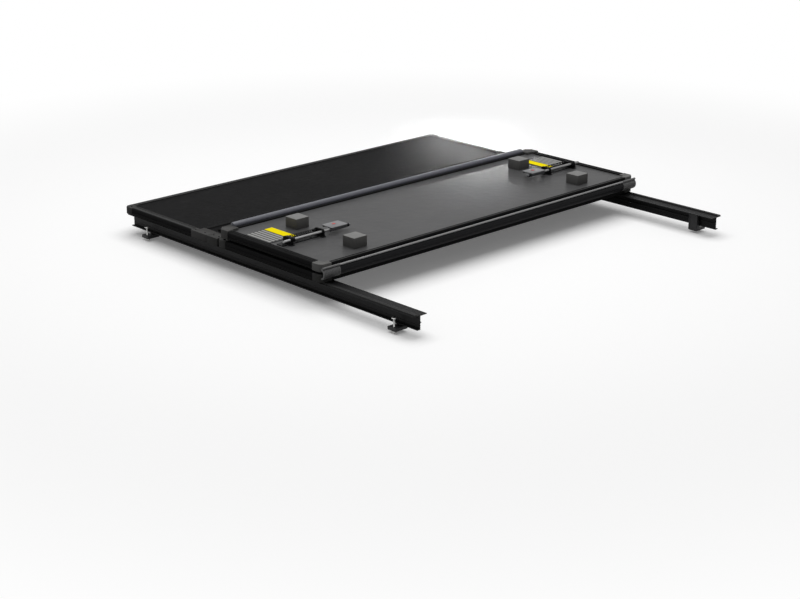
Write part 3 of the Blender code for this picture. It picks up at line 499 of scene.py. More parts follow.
def cross_section(band, overlap):
    """Cross extrusion: distance in from the panel's edge, and height."""
    edge = FRAME_EDGE
    lip = band - overlap
    groove = min(0.0080, lip / 3)
    land = 0.0007               # between the groove underneath and the lip
    top = grooved((band, 0), (edge, 0), centres=(0.0040, band - 0.009), width=0.0020,
                  into=(0, -0.0011))
    under = grooved((edge, -FRAME_HEIGHT), (lip, -FRAME_HEIGHT),
                    centres=(lip - edge - land - groove / 2,), width=groove, into=(0, 0.0030))
    return (top + arc((edge, -edge), edge, 90, 180, 5) + [(0, edge - FRAME_HEIGHT)]
            + arc((edge, edge - FRAME_HEIGHT), edge, 180, 270, 5) + under + slot(lip)
            + [(band, SHEET_TOP + CLEARANCE), (band, 0)])


def build_side_frames():
    for panel, body, lay in (("front", "root", as_is), ("middle", "middle", as_is),
                             ("rear", "rear", folded_over)):
        for hand, side in SIDES:
            node = f"{panel}_panel_side_frame_{hand}"
            low, high = node_box(node)
            inner, outer = sorted((abs(low.x), abs(high.x)))
            section = side_section(outer - inner)
            bm = bmesh.new()
            bar_along_y(bm, [(side * (outer - u), lay(z)) for u, z in section], low.y, high.y)
            # the front frames' top faces get the lighter finish, a painted highlight
            if panel == "front":
                paint_lit_level_faces(bm, 0)
            piece(bm, f"{panel}_side_extrusion_{hand}", [EXTRUSION, LIT_TOP_EXTRUSION], body, node,
                  30)


def add_knuckles(bm, y_axis, toward, lay, odd):
    """Every second barrel of a hinge, each with a leaf let into its frame."""
    radius, foot = KNUCKLE_RADIUS, -Z_AXIS - LEAF_SINK
    heel, reach, gap = 0.0006, 0.0062, 0.0004
    outline = arc((0, 0), radius, 0, 270, 15)
    outline += [(heel, -radius), (heel, foot), (reach, foot), (reach, 0)]
    outline = [(y_axis + toward * u, lay(Z_AXIS + v)) for u, v in outline]
    pitch = 2 * KNUCKLE_HALF_RUN / KNUCKLES
    for number in range(odd, KNUCKLES, 2):
        start = -KNUCKLE_HALF_RUN + number * pitch
        bar_along_x(bm, outline, start + gap, start + pitch - gap)


def build_cross_frames():
    """Frames along the panels' front and rear edges, most of them with hinge barrels."""
    plans = (
        ("front_panel_bulkhead_frame", "root", -1, as_is, None),
        ("middle_panel_front_frame", "middle", -1, as_is, (Y_MIDDLE_AXIS, -1, 0)),
        ("middle_panel_rear_frame", "middle", 1, as_is, (Y_REAR_AXIS, 1, 0)),
        ("rear_panel_hinge_frame", "rear", 1, folded_over, (Y_REAR_AXIS, 1, 1)),
    )
    for node, body, inward, lay, hinge in plans:
        run = node_box(node)[1].x
        y_edge = hinge[0] + inward * CLEARANCE if hinge else node_box(node)[1].y
        overlap = HINGE_OVERLAP if body == "rear" else 0
        section = [(y_edge + inward * u, lay(z)) for u, z in cross_section(END_BAND, overlap)]
        bm = bmesh.new()
        bar_along_x(bm, section, -run, run)
        # the faces that look up get the lighter finish, a painted highlight
        if body == "rear":
            paint_lit_level_faces(bm, lay(-FRAME_HEIGHT))
        elif body == "root":
            paint_lit_level_faces(bm, 0)
        if hinge:
            add_knuckles(bm, hinge[0], hinge[1], lay, hinge[2])
        piece(bm, f"{node}_extrusion", [EXTRUSION, LIT_TOP_EXTRUSION], body, node, 30)


def build_tailgate_frame():
    """Frame with the ledge that holds the tube seal, and drip grooves."""
    node = "rear_panel_tailgate_frame"
    low, high = node_box(node)
    band = high.y - low.y
    edge, chamfer = FRAME_EDGE, 0.0012
    ledge_depth = high.y - (TUBE_Y - TUBE_RADIUS) + CLEARANCE
    ledge = -FRAME_HEIGHT - (TUBE_Z - folded_over(-FRAME_HEIGHT)) + TUBE_RADIUS + CLEARANCE
    top = grooved((band, 0), (edge, 0), centres=(0.006, 0.018, 0.028), width=0.0022,
                  into=(0, -0.0012))
    lip = band - TAIL_OVERLAP
    above = SHEET_TOP + CLEARANCE
    section = (top + arc((edge, -edge), edge, 90, 180, 5) + [(0, ledge), (ledge_depth, ledge)]
               + [(ledge_depth, -FRAME_HEIGHT), (lip - chamfer, -FRAME_HEIGHT),
                  (lip, chamfer - FRAME_HEIGHT)] + slot(lip)
               + [(lip, above), (band, above), (band, 0)])
    bm = bmesh.new()
    bar_along_x(bm, [(high.y - u, folded_over(z)) for u, z in section], low.x, high.x)
    piece(bm, "tailgate_extrusion", [EXTRUSION], "rear", node, 30)


def build_hinge_deck():
    """Wide frame behind the front sheet, with raised edges and a ribbed trough."""
    node = "front_panel_hinge_frame"
    corner = node_box(node)[1]
    run, y_deck = corner.x, corner.y
    y_end = Y_FRONT_AXIS + CLEARANCE
    y_ridge = y_deck - RIDGE_WIDTH - SHEET_GRIP
    y_lip = y_end + RIDGE_WIDTH
    slope, chamfer = 0.001, 0.0012
    trough = grooved((y_ridge - slope, -RECESS), (y_lip + slope, -RECESS),
                     centres=(0.006, 0.016, 0.026, 0.036, 0.046), width=0.0030,
                     into=(0, 0.0012))
    section = [(y_deck, 0)] + grooved((y_deck, 0), (y_ridge + chamfer, 0), centres=(0.0075,),
                                      width=0.0022, into=(0, -0.0012))
    section += [(y_ridge, -chamfer)] + trough + [(y_lip, -slope), (y_lip - slope, 0)]
    section += [(y_end, 0), (y_end, -FRAME_HEIGHT)]
    section += grooved((y_end, -FRAME_HEIGHT), (y_deck, -FRAME_HEIGHT),
                       centres=(0.010, 0.038, 0.066), width=0.0030, into=(0, 0.0016))
    section += slot(y_deck) + [(y_deck, SHEET_TOP + CLEARANCE)]
    bm = bmesh.new()
    bar_along_x(bm, section, -run, run)
    add_knuckles(bm, Y_FRONT_AXIS, 1, as_is, 0)
    piece(bm, "hinge_deck_extrusion", [EXTRUSION], "root", node, 30)


def build_link():
    """Bar between the two front hinge axes, with moulded ends."""
    y0, y1 = Y_MIDDLE_AXIS + CLEARANCE, Y_FRONT_AXIS - CLEARANCE
    under, slope, joggle = -0.023, 0.001, 0.002
    in_from_end, in_from_axis, sunk = 0.022, 0.016, 0.0008
    section = [(y0, 0), (y0 + RIDGE_WIDTH - slope, 0), (y0 + RIDGE_WIDTH, -slope)]
    section += grooved((y0 + RIDGE_WIDTH, -RECESS), (y1 - RIDGE_WIDTH, -RECESS),
                       centres=(0.0085, 0.0165, 0.0245, 0.0325), width=0.0030,
                       into=(0, 0.0012))
    section += [(y1 - RIDGE_WIDTH, -slope), (y1 - RIDGE_WIDTH + slope, 0), (y1, 0), (y1, under)]
    section += grooved((y1, under), (y0, under), centres=(0.012, 0.031, 0.050), width=0.0030,
                       into=(0, 0.0014))
    run = HALF - LINK_END
    bm = bmesh.new()
    bar_along_x(bm, section, -run - joggle, run + joggle)
    add_knuckles(bm, Y_FRONT_AXIS, -1, as_is, 1)
    add_knuckles(bm, Y_MIDDLE_AXIS, 1, as_is, 1)
    for _, side in SIDES:
        known = set(bm.faces)
        x0, x1 = sorted((side * run, side * HALF))
        ends = box(bm, (x0, y0, -FRAME_HEIGHT), (x1, y1, 0))
        soften(bm, 0.0016, 3, verts=ends)
        for facing in (1, -1):
            broad = broadest([face for face in bm.faces if face not in known], facing)
            sink_panel(bm, [broad], border=0.0040, slope=0.0006, depth=0.0008)
        finish_new(bm, known, 1)
        x = side * (HALF - in_from_end)
        for y in (y0 + in_from_axis, y1 - in_from_axis):
            for z, facing in ((-sunk, 1), (sunk - FRAME_HEIGHT, -1)):
                screw(bm, (x, y, z), (0, 0, facing), radius=0.0032, height=0.0014, index=2)
    piece(bm, "double_hinge_link", [EXTRUSION, DARK_MOULDING, BLACK_STEEL], "link", "hinge_link",
          30)


# ---------------- corner caps
def build_caps():
    """Moulded corners with a sunk panel above and below, screwed on from the weather side."""
    # each cap's tone here is painted light and shade, chosen by how much light the cap gets
    plans = (
        ("bulkhead_corner_cap", "root", 1, -1, DARK_MOULDING),
        ("front_hinge_cap", "root", 1, 1, TAIL_MOULDING),
        ("middle_front_cap", "middle", 1, -1, DARK_MOULDING),
        ("middle_rear_cap", "middle", 1, 1, DARK_MOULDING),
        ("rear_hinge_cap", "rear", -1, 1, MOULDING),
        ("tailgate_cap", "rear", -1, -1, TAIL_MOULDING),
    )
    depth = 0.0006
    in_from_side, in_from_edge, in_from_far_edge = 0.0145, 0.0245, 0.012
    for name, body, weather, inward, plastic in plans:
        for hand, side in SIDES:
            node = f"{name}_{hand}"
            low, high = node_box(node)
            bm = cad_copy(node)
            for facing in (1, -1):
                sink_panel(bm, [broadest(bm.faces, facing)], border=0.0030, slope=0.0005,
                           depth=depth)
            soften(bm, 0.0006, 2, least=30)
            x = side * (HALF - in_from_side)
            z = high.z - depth if weather > 0 else low.z + depth
            places = [(low.y if inward > 0 else high.y) + inward * in_from_edge]
            if name == "front_hinge_cap":
                places.append(high.y - in_from_far_edge)
            for y in places:
                screw(bm, (x, y, z), (0, 0, weather), radius=0.0034, height=0.0013)
            piece(bm, f"{name}_moulding_{hand}", [plastic, BLACK_STEEL], body, node, 30)


# ---------------- seals
def half_oval(bulge, reach):
    """Outline bulging towards the tailgate from the folded hinge."""
    steps = 18
    points = []
    for step in range(steps + 1):
        angle = math.pi * (step / steps - 0.5)
        points.append((Y_REAR_AXIS - bulge * math.cos(angle), Z_AXIS + reach * math.sin(angle)))
    return points


def half_pipe(bulge, reach, wall, wall_ends):
    """Closed outline of an arched wall, with its thickness at the bulge and at the ends."""
    return half_oval(bulge, reach) + half_oval(bulge - wall, reach - wall_ends)[::-1]


def build_fold_seal():
    """Rubber strip arched round the folded rear hinge, with a bead painted pale as a highlight
    line and ribbed moulded ends.
    """
    node = "rear_hinge_seal"
    end = node_box(node)[1].x
    end_length, tuck = 0.0738, 0.004
    bulge, reach, wall = 0.0150, 0.0180, 0.0030
    proud, rib_rise, rib_reach = 0.0010, 0.0024, 0.0012
    rib_count, rib_margin = 11, 0.0030
    end_start = end - end_length
    bm = bmesh.new()
    bar_along_x(bm, half_pipe(bulge, reach, wall, wall), -end_start - tuck, end_start + tuck)
    # the bead gets the pale tone, a painted highlight
    known = set(bm.faces)
    bead = (Y_REAR_AXIS - 0.0072, Z_AXIS + 0.0196)
    bar_along_x(bm, arc(bead, 0.0036, 0, 345, 23), -end_start, end_start)
    finish_new(bm, known, 1)
    for rise in (0.0030, -0.0050):
        middle = (Y_REAR_AXIS - bulge * math.cos(math.asin(rise / reach)) - 0.0001, Z_AXIS + rise)
        bar_along_x(bm, arc(middle, 0.0012, 0, 330, 11), -end_start, end_start)
    known = set(bm.faces)
    pitch = (end - end_start - 2 * rib_margin) / rib_count
    for _, side in SIDES:
        block = half_pipe(bulge + proud, reach + proud, 0.0055, 0.0055)
        bar_along_x(bm, block, side * end_start, side * end)
        rib = half_pipe(bulge + rib_rise, reach + rib_reach, 0.0044, 0.0032)
        for number in range(rib_count):
            start = end_start + rib_margin + number * pitch
            bar_along_x(bm, rib, side * start, side * (start + pitch * 0.5))
        lip = arc((Y_REAR_AXIS - 0.0082, Z_AXIS + 0.0205), 0.0042, 0, 345, 23)
        bar_along_x(bm, lip, side * end_start, side * end)
    finish_new(bm, known, 2)
    seal = piece(bm, "rear_hinge_strip", [STRIP_RUBBER, HIGHLIGHT_BEAD, END_RUBBER], "middle", node,
                 35)
    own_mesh(seal)


def build_tube_seal():
    """Round tube along the tailgate edge, with rounded ends."""
    radius, rounding, ease, rings = TUBE_RADIUS, 0.0030, 0.0008, 40
    length = TUBE_HIGH.x - TUBE_LOW.x
    profile = [(0, 0), (0, radius - rounding), (ease, radius - 0.0010), (rounding, radius)]
    profile += [(length * ring / rings, radius) for ring in range(1, rings)]
    profile += [(length - rounding, radius), (length - ease, radius - 0.0010),
                (length, radius - rounding), (length, 0)]
    bm = bmesh.new()
    turned(bm, profile, (TUBE_LOW.x, TUBE_Y, TUBE_Z), (1, 0, 0), 36)
    piece(bm, "tailgate_tube_seal", [TUBE_RUBBER], "rear", "tailgate_bulb_seal")


def build_lip_seals():
    """Ribbed strips along the cab edge and on the rails."""
    low, high = node_box("bulkhead_seal")
    middle, foot, lip, spacing = (high.z + low.z) / 2, 0.001, 0.0032, 0.0065
    section = [(low.y, low.z + foot), (low.y, high.z - foot)]
    for rise in (spacing, 0, -spacing):
        section += arc((high.y - lip, middle + rise), lip, 90, -90, 8)
    bm = bmesh.new()
    bar_along_x(bm, section, low.x, high.x)
    piece(bm, "bulkhead_lip_seal", [BLACK_RUBBER], "root", "bulkhead_seal")
    base, lip, spacing = 0.0014, 0.0019, 0.0040
    for hand, _ in SIDES:
        low, high = node_box(f"rail_seal_{hand}")
        centre = (low.x + high.x) / 2
        section = [(low.x, low.z), (low.x, low.z + base)]
        for shift in (-spacing, 0, spacing):
            section += arc((centre + shift, high.z - lip), lip, 180, 0, 7)
        section += [(high.x, low.z + base), (high.x, low.z)]
        bm = bmesh.new()
        bar_along_y(bm, section, low.y, high.y)
        piece(bm, f"rail_lip_seal_{hand}", [BLACK_RUBBER], "root", f"rail_seal_{hand}")


# ---------------- blocks and plates
def build_blocks():
    """Rubber blocks whose tops take a lighter copy of the rubber as a painted highlight, each
    glued down on a slightly smaller foot.
    """
    corner, foot, inset, overlap = 0.0020, 0.0020, 0.0006, 0.0001
    for place in ("front", "rear"):
        for hand, _ in SIDES:
            node = f"bumper_block_{place}_{hand}"
            low, high = node_box(node)
            bm = bmesh.new()
            plan = rounded_plan(low.x, high.x, low.y, high.y, corner, 3)
            soften(bm, 0.0011, 2, STEEP, slab(bm, plan, low.z + foot, high.z))
            plan = rounded_plan(low.x + inset, high.x - inset, low.y + inset, high.y - inset,
                                corner, 3)
            slab(bm, plan, low.z, low.z + foot + overlap)
            # the top gets the lighter copy, a painted highlight
            paint_lit_level_faces(bm, high.z)
            piece(bm, f"rubber_block_{place}_{hand}", [BLOCK_RUBBER, LIT_BLOCK_TOP], "rear", node,
                  30)


def build_pads():
    """Ribbed plates beside the latches, each with a plain coloured band."""
    band, ribs, margin, short_rib = 0.036, 5, 0.004, 0.012
    thick, rib_thick, sink, rim = 0.0016, 0.0023, 0.0015, 0.001
    for hand, side in SIDES:
        node = f"latch_pad_{hand}"
        low, high = node_box(node)
        inner, outer = sorted((abs(low.x), abs(high.x)))
        bm = bmesh.new()
        plan = rounded_plan(side * inner, side * outer, low.y, high.y, 0.005)
        soften(bm, 0.0004, 1, STEEP, slab(bm, plan, low.z, low.z + thick))
        known = set(bm.faces)
        pitch = (outer - inner - band - 2 * margin) / ribs
        for number in range(ribs):
            x = inner + band + margin + (number + 0.5) * pitch
            start = short_rib if number == 0 else margin
            rib = rounded_plan(side * (x - pitch * 0.30), side * (x + pitch * 0.30),
                               low.y + start, high.y - margin, 0.0016, 3)
            slab(bm, rib, low.z + sink, low.z + rib_thick)
        finish_new(bm, known, 2)
        known = set(bm.faces)
        plan = rounded_plan(side * (inner + rim), side * (inner + band), low.y + rim,
                            high.y - rim, 0.0035)
        soften(bm, 0.0003, 1, STEEP, slab(bm, plan, low.z + sink, high.z - 0.0004))
        finish_new(bm, known, 1)
        piece(bm, f"ribbed_plate_{hand}", [PLATE_DARK, YELLOW, PLATE_GREY], "rear", node,
              30)


# ---------------- latches
def build_latch_base(hand, side):
    """Black pressed channel with two lugs round the rod, riveted to the sheet."""
    node = f"latch_base_{hand}"
    low, high = node_box(node)
    inner, outer = sorted((abs(low.x), abs(high.x)))
    plate_top = low.z + 0.0026
    root = plate_top - 0.001        # lugs and wall start inside the plate
    foot_half, leaf, end_rivet, lug_rivet = 0.009, 0.0024, 0.008, 0.040
    wall_thick, wall_rise, wall_setback, peg = 0.0024, 0.010, 0.004, 0.018
    bm = bmesh.new()
    plan = rounded_plan(side * inner, side * outer, ROD_Y + 0.007, high.y, 0.006)
    soften(bm, 0.0005, 1, STEEP, slab(bm, plan, low.z, plate_top))
    for x in (LUG_INNER_X, LUG_OUTER_X):
        plan = rounded_plan(side * (x - foot_half), side * (x + foot_half), low.y, high.y, 0.004)
        soften(bm, 0.0005, 1, STEEP, slab(bm, plan, low.z, plate_top))
        profile = [(ROD_Y - 0.0095, root)]
        profile += arc((ROD_Y, ROD_Z), 0.0090, 180, 90, 8)
        profile += arc((SPRING_Y, ROD_Z), 0.0086, 90, 0, 8)
        profile += [(SPRING_Y + 0.0090, root)]
        for shift in (-0.0034, 0.0010):
            lug = bar_along_x(bm, profile, side * (x + shift), side * (x + shift + leaf))
            soften(bm, 0.0004, 1, STEEP, lug)
        sleeve(bm, (side * x, ROD_Y, ROD_Z), (1, 0, 0), (-0.0048, 0.0048), 0.0054, 0.0070)
    wall = bar_along_x(bm, [(high.y - wall_thick, root), (high.y - wall_thick, low.z + wall_rise),
                            (high.y, low.z + wall_rise), (high.y, root)],
                       side * (LUG_INNER_X + wall_setback), side * (LUG_OUTER_X - wall_setback))
    soften(bm, 0.0005, 1, STEEP, wall)
    rod(bm, (side * (LUG_INNER_X + wall_setback), SPRING_Y, ROD_Z),
        (side * (LUG_INNER_X + peg), SPRING_Y, ROD_Z), GUIDE_RADIUS, 20)
    known = set(bm.faces)
    for x in (inner + end_rivet, LUG_INNER_X + lug_rivet, LUG_OUTER_X - lug_rivet,
              outer - end_rivet):
        turned(bm, [(0, 0), (0, 0.0038), (0.0009, 0.0035), (0.0016, 0.0022), (0.0019, 0)],
               (side * x, ROD_Y + 0.0155, plate_top), (0, 0, 1), 18)
    finish_new(bm, known, 1)
    piece(bm, f"latch_channel_{hand}", [BLACK_STEEL, EXTRUSION], "rear", node, 30)


def build_latch_bolt(hand, side):
    """Ground rod with a wedge tip, an arm that presses the spring, a collar and an end knob."""
    node = f"latch_bolt_{hand}"
    end_x, tip_x = side * BOLT_LOW.x, side * BOLT_HIGH.x
    tip_slope, arm_half, peg = 0.80, 0.0040, 0.016
    collar, knob, knob_start = 0.010, 0.0090, 0.0095
    bm = bmesh.new()
    rod(bm, (end_x, ROD_Y, ROD_Z), (tip_x, ROD_Y, ROD_Z), ROD_RADIUS, 32)
    corner = Vector((tip_x, ROD_Y, ROD_Z - ROD_RADIUS / 2))
    slope = Vector((side, 0, tip_slope)).normalized()
    everything = bm.verts[:] + bm.edges[:] + bm.faces[:]
    bmesh.ops.bisect_plane(bm, geom=everything, plane_co=corner, plane_no=slope, clear_outer=True)
    bmesh.ops.holes_fill(bm, edges=bm.edges, sides=0)
    soften(bm, 0.0005, 2, least=45)
    known = set(bm.faces)
    arm = [(ROD_Y - ARM_RADIUS, ROD_Z - 0.0070), (ROD_Y - ARM_RADIUS, ROD_Z)]
    arm += arc((ROD_Y, ROD_Z), ARM_RADIUS, 180, 90, 6)[1:]
    arm += [(ROD_Y + 0.010, ROD_Z + 0.0060)]
    arm += arc((SPRING_Y, ROD_Z), 0.0075, 90, -90, 12)
    arm += [(ROD_Y + 0.006, ROD_Z - 0.0075)]
    made = bar_along_x(bm, arm, side * (ARM_X - arm_half), side * (ARM_X + arm_half))
    soften(bm, 0.0007, 2, STEEP, made)
    rod(bm, (side * (ARM_X - 0.0045), SPRING_Y, ROD_Z), (side * (ARM_X - peg), SPRING_Y, ROD_Z),
        GUIDE_RADIUS, 20)
    sleeve(bm, (side * (HANDLE_INNER_X - 0.0005), ROD_Y, ROD_Z), (-side, 0, 0), (0, collar),
           0.0048, 0.0066)
    finish_new(bm, known, 1)
    known = set(bm.faces)
    turned(bm, [(0, 0), (0, 0.0050), (knob - 0.0015, 0.0050), (knob, 0.0034), (knob, 0)],
           (side * (HANDLE_INNER_X - knob_start), ROD_Y, ROD_Z), (-side, 0, 0), 20)
    finish_new(bm, known, 2)
    piece(bm, f"latch_rod_{hand}", [GROUND_STEEL, BLACK_STEEL, HANDLE_GREY], f"latch_{hand}",
          node, 35)


def build_latch_handle(hand, side):
    """Pull plate folded over the rod, with a finger lip and a plain round mark."""
    node = f"latch_handle_{hand}"
    low, high = node_box(node)
    inner, outer = sorted((abs(low.x), abs(high.x)))
    top, under = high.z, high.z - 0.0032
    root = under + 0.0005           # boss and lip start inside the plate
    boss_half, boss_inset, lip_inset = 0.0088, 0.0015, 0.005
    bm = bmesh.new()
    plan = rounded_plan(side * inner, side * outer, low.y, high.y, 0.004)
    soften(bm, 0.0008, 2, STEEP, slab(bm, plan, under, top))
    boss = [(ROD_Y - boss_half, root), (ROD_Y - boss_half, ROD_Z)]
    boss += arc((ROD_Y, ROD_Z), 0.0080, 180, 360, 12) + [(ROD_Y + boss_half, root)]
    made = bar_along_x(bm, boss, side * (inner + boss_inset), side * (outer - boss_inset))
    soften(bm, 0.0006, 1, STEEP, made)
    lip = [(high.y - 0.0030, root), (high.y - 0.0010, root),
           (high.y - 0.0004, under - 0.0060), (high.y - 0.0030, under - 0.0068)]
    made = bar_along_x(bm, lip, side * (inner + lip_inset), side * (outer - lip_inset))
    soften(bm, 0.0006, 2, 50, made)
    middle = Vector((side * (inner + outer) / 2, (low.y + high.y) / 2 + 0.006, top))
    turned(bm, [(-0.0010, 0), (-0.0010, 0.0085), (0.0005, 0.0085), (0.0005, 0.0074),
                (0.0001, 0.0070), (0.0001, 0)], middle, (0, 0, 1), 32)
    known = set(bm.faces)
    turned(bm, [(-0.0008, 0), (-0.0008, 0.0062), (0.0003, 0.0062), (0.0005, 0.0056), (0.0005, 0)],
           middle, (0, 0, 1), 28)
    finish_new(bm, known, 1)
    piece(bm, f"pull_handle_{hand}", [HANDLE_GREY, RED_MARK], f"latch_{hand}", node, 30)


def build_spring(hand, side):
    """Coil spring, drawn at one length between the inner lug and the rod's arm."""
    node = f"latch_spring_{hand}"
    start, end = LUG_INNER_X + 0.0066, ARM_X - 0.0060
    turns, steps, wire, radius = 15, 14, 0.0011, 0.0060
    curve = bpy.data.curves.new(f"coil_{hand}", "CURVE")
    curve.dimensions = "3D"
    curve.bevel_depth = wire
    curve.bevel_resolution = 2
    curve.use_fill_caps = True
    line = curve.splines.new("POLY")
    line.points.add(turns * steps)
    for step in range(turns * steps + 1):
        turn = math.tau * step / steps
        share = step / (turns * steps)
        line.points[step].co = (side * (start + (end - start) * share),
                                SPRING_Y + radius * math.cos(turn),
                                ROD_Z + radius * math.sin(turn), 1)
    helper = add_object(f"coil_{hand}", curve)
    bpy.context.view_layer.update()
    mesh = bpy.data.meshes.new_from_object(helper)
    bpy.data.objects.remove(helper)
    bm = bmesh.new()
    bm.from_mesh(mesh)
    bmesh.ops.remove_doubles(bm, verts=bm.verts, dist=SAME_POINT)
    coil = piece(bm, f"coil_spring_{hand}", [BLACK_STEEL], "rear", node, 60)
    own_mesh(coil)


# ---------------- rails and clamps
def rail_section(side):
    """Rail: flange for the seal, lip for the latch bolts, ribbed wall and foot."""
    low, high = node_box("side_rail_right")
    lip, outer, top, bottom = low.x, high.x, high.z, low.z
    thick, flange, foot, bevel, fillet = 0.003, 0.030, 0.014, 0.0006, 0.001
    rib_drop, rib_reach, rib_bevel = 0.024, 0.004, 0.0004
    wall_in = outer - flange
    wall_out = wall_in + thick
    under = top - thick
    rib_top = top - rib_drop
    rib_edge = wall_in - rib_reach
    section = [(lip, under + bevel), (lip, top - bevel), (lip + bevel, top)]
    section += grooved((lip + bevel, top), (outer - bevel, top),
                       centres=[0.006 * number for number in range(1, 7)], width=0.0024,
                       into=(0, -0.0009))
    section += [(outer, top - bevel), (outer, under + bevel), (outer - bevel, under)]
    section += [(wall_out + fillet, under), (wall_out, under - fillet)]
    section += grooved((wall_out, under - fillet), (wall_out, bottom + thick),
                       centres=(0.006, 0.030), width=0.0030, into=(-0.0009, 0))
    section += [(wall_in + foot, bottom + thick), (wall_in + foot, bottom), (wall_in, bottom)]
    section += grooved((wall_in, bottom), (wall_in, rib_top - thick),
                       centres=(0.005, 0.011, 0.017), width=0.0026, into=(0.0009, 0))
    section += [(rib_edge, rib_top - thick + rib_bevel), (rib_edge, rib_top - rib_bevel),
                (rib_edge + rib_bevel, rib_top), (wall_in, rib_top)]
    section += grooved((wall_in, rib_top), (wall_in, under), centres=(0.007, 0.014),
                       width=0.0026, into=(0.0009, 0))
    section += [(lip + bevel, under)]
    return [(side * x, z) for x, z in section]


def build_rails():
    for hand, side in SIDES:
        node = f"side_rail_{hand}"
        low, high = node_box(node)
        bm = bmesh.new()
        bar_along_y(bm, rail_section(side), low.y, high.y)
        piece(bm, f"bed_rail_{hand}", [RAIL_METAL], "root", node, 30)


def build_clamps():
    """Cast C shapes with a sunk panel in the broad face, each with its screw."""
    broad_area = 0.0008
    for place in ("front", "rear"):
        for hand, side in SIDES:
            node = f"clamp_{place}_{hand}"
            bm = cad_copy(node)
            wide = [face for face in bm.faces
                    if face.normal.x * side < -0.95 and face.calc_area() > broad_area]
            sink_panel(bm, wide, border=0.0050, slope=0.0008, depth=0.0018)
            soften(bm, 0.0006, 2, least=30)
            piece(bm, f"rail_clamp_{place}_{hand}", [CAST_ALLOY], "root", node, 30)
            build_clamp_screw(place, hand)


def build_clamp_screw(place, hand):
    """Hex head screw with a cut thread and a swivel foot."""
    node = f"clamp_bolt_{place}_{hand}"
    low, high = node_box(node)
    x, y = (low.x + high.x) / 2, (low.y + high.y) / 2
    head_height, head_radius, overlap = 0.0060, 0.0080, 0.0005
    foot_height, foot_radius = 0.0040, 0.0090
    thread, core, pitch, lead_in = 0.0040, 0.0034, 0.00125, 0.0004
    bm = bmesh.new()
    head = rod(bm, (x, y, low.z), (x, y, low.z + head_height), head_radius, 6)
    soften(bm, 0.0007, 2, verts=head)
    shank_start = low.z + head_height - overlap
    foot_low = high.z - foot_height
    length = foot_low + overlap - shank_start
    profile = [(0, 0), (0, thread)]
    along = lead_in
    while along + pitch < length:
        profile += [(along + pitch * 0.45, core), (along + pitch * 0.95, thread)]
        along += pitch
    profile += [(length, core), (length, 0)]
    turned(bm, profile, (x, y, shank_start), (0, 0, 1), 20)
    turned(bm, [(0, 0), (0, 0.0075), (0.0012, foot_radius), (0.0034, foot_radius),
                (foot_height, 0.0084), (foot_height, 0)], (x, y, foot_low), (0, 0, 1), 28)
    piece(bm, f"clamp_screw_{place}_{hand}", [ZINC], node, node, 30)


def build_pins():
    for name in ("front_hinge_pin", "middle_hinge_pin", "rear_hinge_pin"):
        item = frame["nodes"][name]
        item.data.materials.clear()
        item.data.materials.append(ZINC)


# ---------------- stage, light and camera
FLOOR_HALF = 14
FLOOR_FADE = (1.6, 3.2)         # distances between which the floor turns into plain white
FLOOR_SHOWN = 0.945             # tone of the floor as it is seen
FLOOR_LIT = 0.20                # tone with which it throws light back on the object
FLOOR_LIFT = 0.14               # glow that keeps it pale away from the shadow
WORLD_LIGHT = 0.20              # strength of the white world as it lights the object


def rays_that_show_white(tree):
    """1 for the rays that see the background itself: camera, gloss and glass."""
    rays = tree.nodes.new("ShaderNodeLightPath").outputs
    first = add_node(tree, "Math", "Value",
                     {0: rays["Is Camera Ray"], 1: rays["Is Glossy Ray"]}, operation="MAXIMUM")
    return add_node(tree, "Math", "Value", {0: first, 1: rays["Is Transmission Ray"]},
                    operation="MAXIMUM")


def build_stage():
    """Pale floor whose tone runs out into the white of the backdrop."""
    bm = bmesh.new()
    bmesh.ops.create_grid(bm, x_segments=1, y_segments=1, size=FLOOR_HALF)
    mesh = bpy.data.meshes.new("floor")
    bm.to_mesh(mesh)
    bm.free()
    pale, tree, shader = new_material("pale_floor")
    shown = rays_that_show_white(tree)
    tone = mix_colours(tree, shown, (FLOOR_LIT, FLOOR_LIT, FLOOR_LIT, 1),
                       (FLOOR_SHOWN, FLOOR_SHOWN, FLOOR_SHOWN, 1))
    lift = add_node(tree, "MapRange", "Result", {"Value": shown, "To Max": FLOOR_LIFT})
    feed(tree, shader, {"Base Color": tone, "Roughness": 0.9, "Specular IOR Level": 0.1,
                        "Emission Color": (1, 1, 1, 1), "Emission Strength": lift})
    place = add_node(tree, "TexCoord", "Object", {})
    away = add_node(tree, "VectorMath", "Value", {0: place}, operation="LENGTH")
    fade = add_node(tree, "MapRange", "Result",
                    {"Value": away, "From Min": FLOOR_FADE[0], "From Max": FLOOR_FADE[1]},
                    interpolation_type="SMOOTHSTEP")
    white = add_node(tree, "Emission", "Emission", {"Strength": shown})
    run_out = add_node(tree, "MixShader", "Shader",
                       {"Fac": fade, 1: shader.outputs["BSDF"], 2: white})
    feed(tree, tree.nodes["Material Output"], {"Surface": run_out})
    mesh.materials.append(pale)
    floor = add_object("floor", mesh)


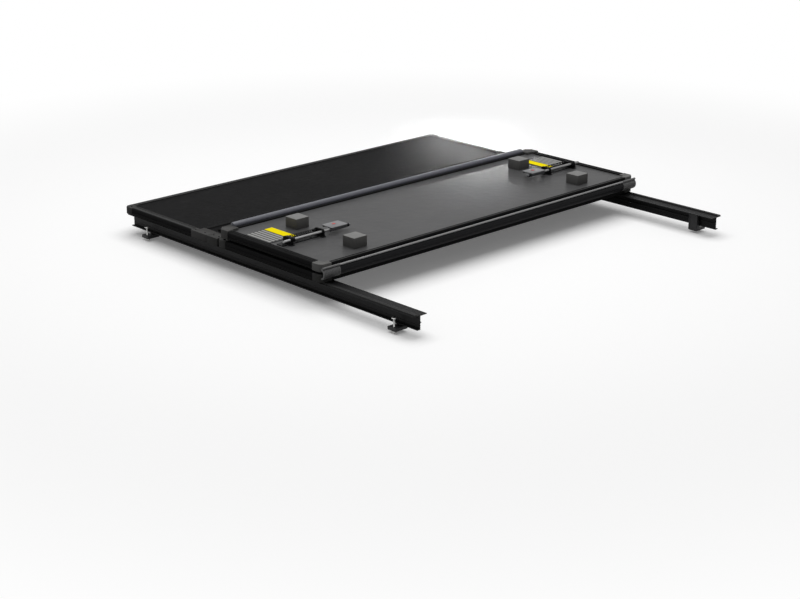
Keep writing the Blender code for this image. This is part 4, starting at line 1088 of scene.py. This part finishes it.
def softbox(name, place, target, size, power, spread=180):
    lamp = bpy.data.lights.new(name, "AREA")
    lamp.shape = "RECTANGLE"
    lamp.size, lamp.size_y = size
    lamp.energy = power
    lamp.spread = math.radians(spread)
    made = add_object(name, lamp)
    made.location = place
    made.rotation_mode = "QUATERNION"
    made.rotation_quaternion = (Vector(target) - Vector(place)).to_track_quat("-Z", "Y")


def build_light():
    """Even light from a white world and one wide lamp, and a small lamp for the sheets' sheen."""
    world = bpy.data.worlds.new("studio")
    bpy.context.scene.world = world
    world.use_nodes = True
    tree = world.node_tree
    strength = add_node(tree, "MapRange", "Result",
                        {"Value": rays_that_show_white(tree), "To Min": WORLD_LIGHT, "To Max": 1})
    feed(tree, tree.nodes["Background"], {"Color": (1, 1, 1, 1), "Strength": strength})
    softbox("overhead", place=(0, 0.2, 5.0), target=(0, 0.2, 0), size=(6.0, 6.0), power=262)
    softbox("gridded_panel", place=(2.56, 2.14, 0.66), target=(0.66, 0.52, -0.07),
            size=(0.42, 0.20), power=0.47, spread=15)


def build_camera():
    eye = Vector((-4.1962, -5.1399, 1.7834))
    look = Vector((0.64694, 0.68617, -0.33262)).normalized()
    right = look.cross(Vector((0.2303, 0.2400, 0.9431))).normalized()
    data = bpy.data.cameras.new("camera")
    data.lens = 75.03
    data.sensor_width = 36
    data.shift_x = -0.0068
    data.shift_y = -0.0076
    camera = add_object("camera", data)
    turn = Matrix((right, right.cross(look), -look)).transposed().to_4x4()
    camera.matrix_world = Matrix.Translation(eye + ORIGIN) @ turn
    bpy.context.scene.camera = camera


build_sheets()
build_side_frames()
build_cross_frames()
build_tailgate_frame()
build_hinge_deck()
build_link()
build_caps()
build_fold_seal()
build_tube_seal()
build_lip_seals()
build_blocks()
build_pads()
for hand, side in SIDES:
    build_latch_base(hand, side)
    build_latch_bolt(hand, side)
    build_latch_handle(hand, side)
    build_spring(hand, side)
build_rails()
build_clamps()
build_pins()
build_stage()
build_light()
build_camera()
bpy.context.scene.view_settings.view_transform = "Standard"
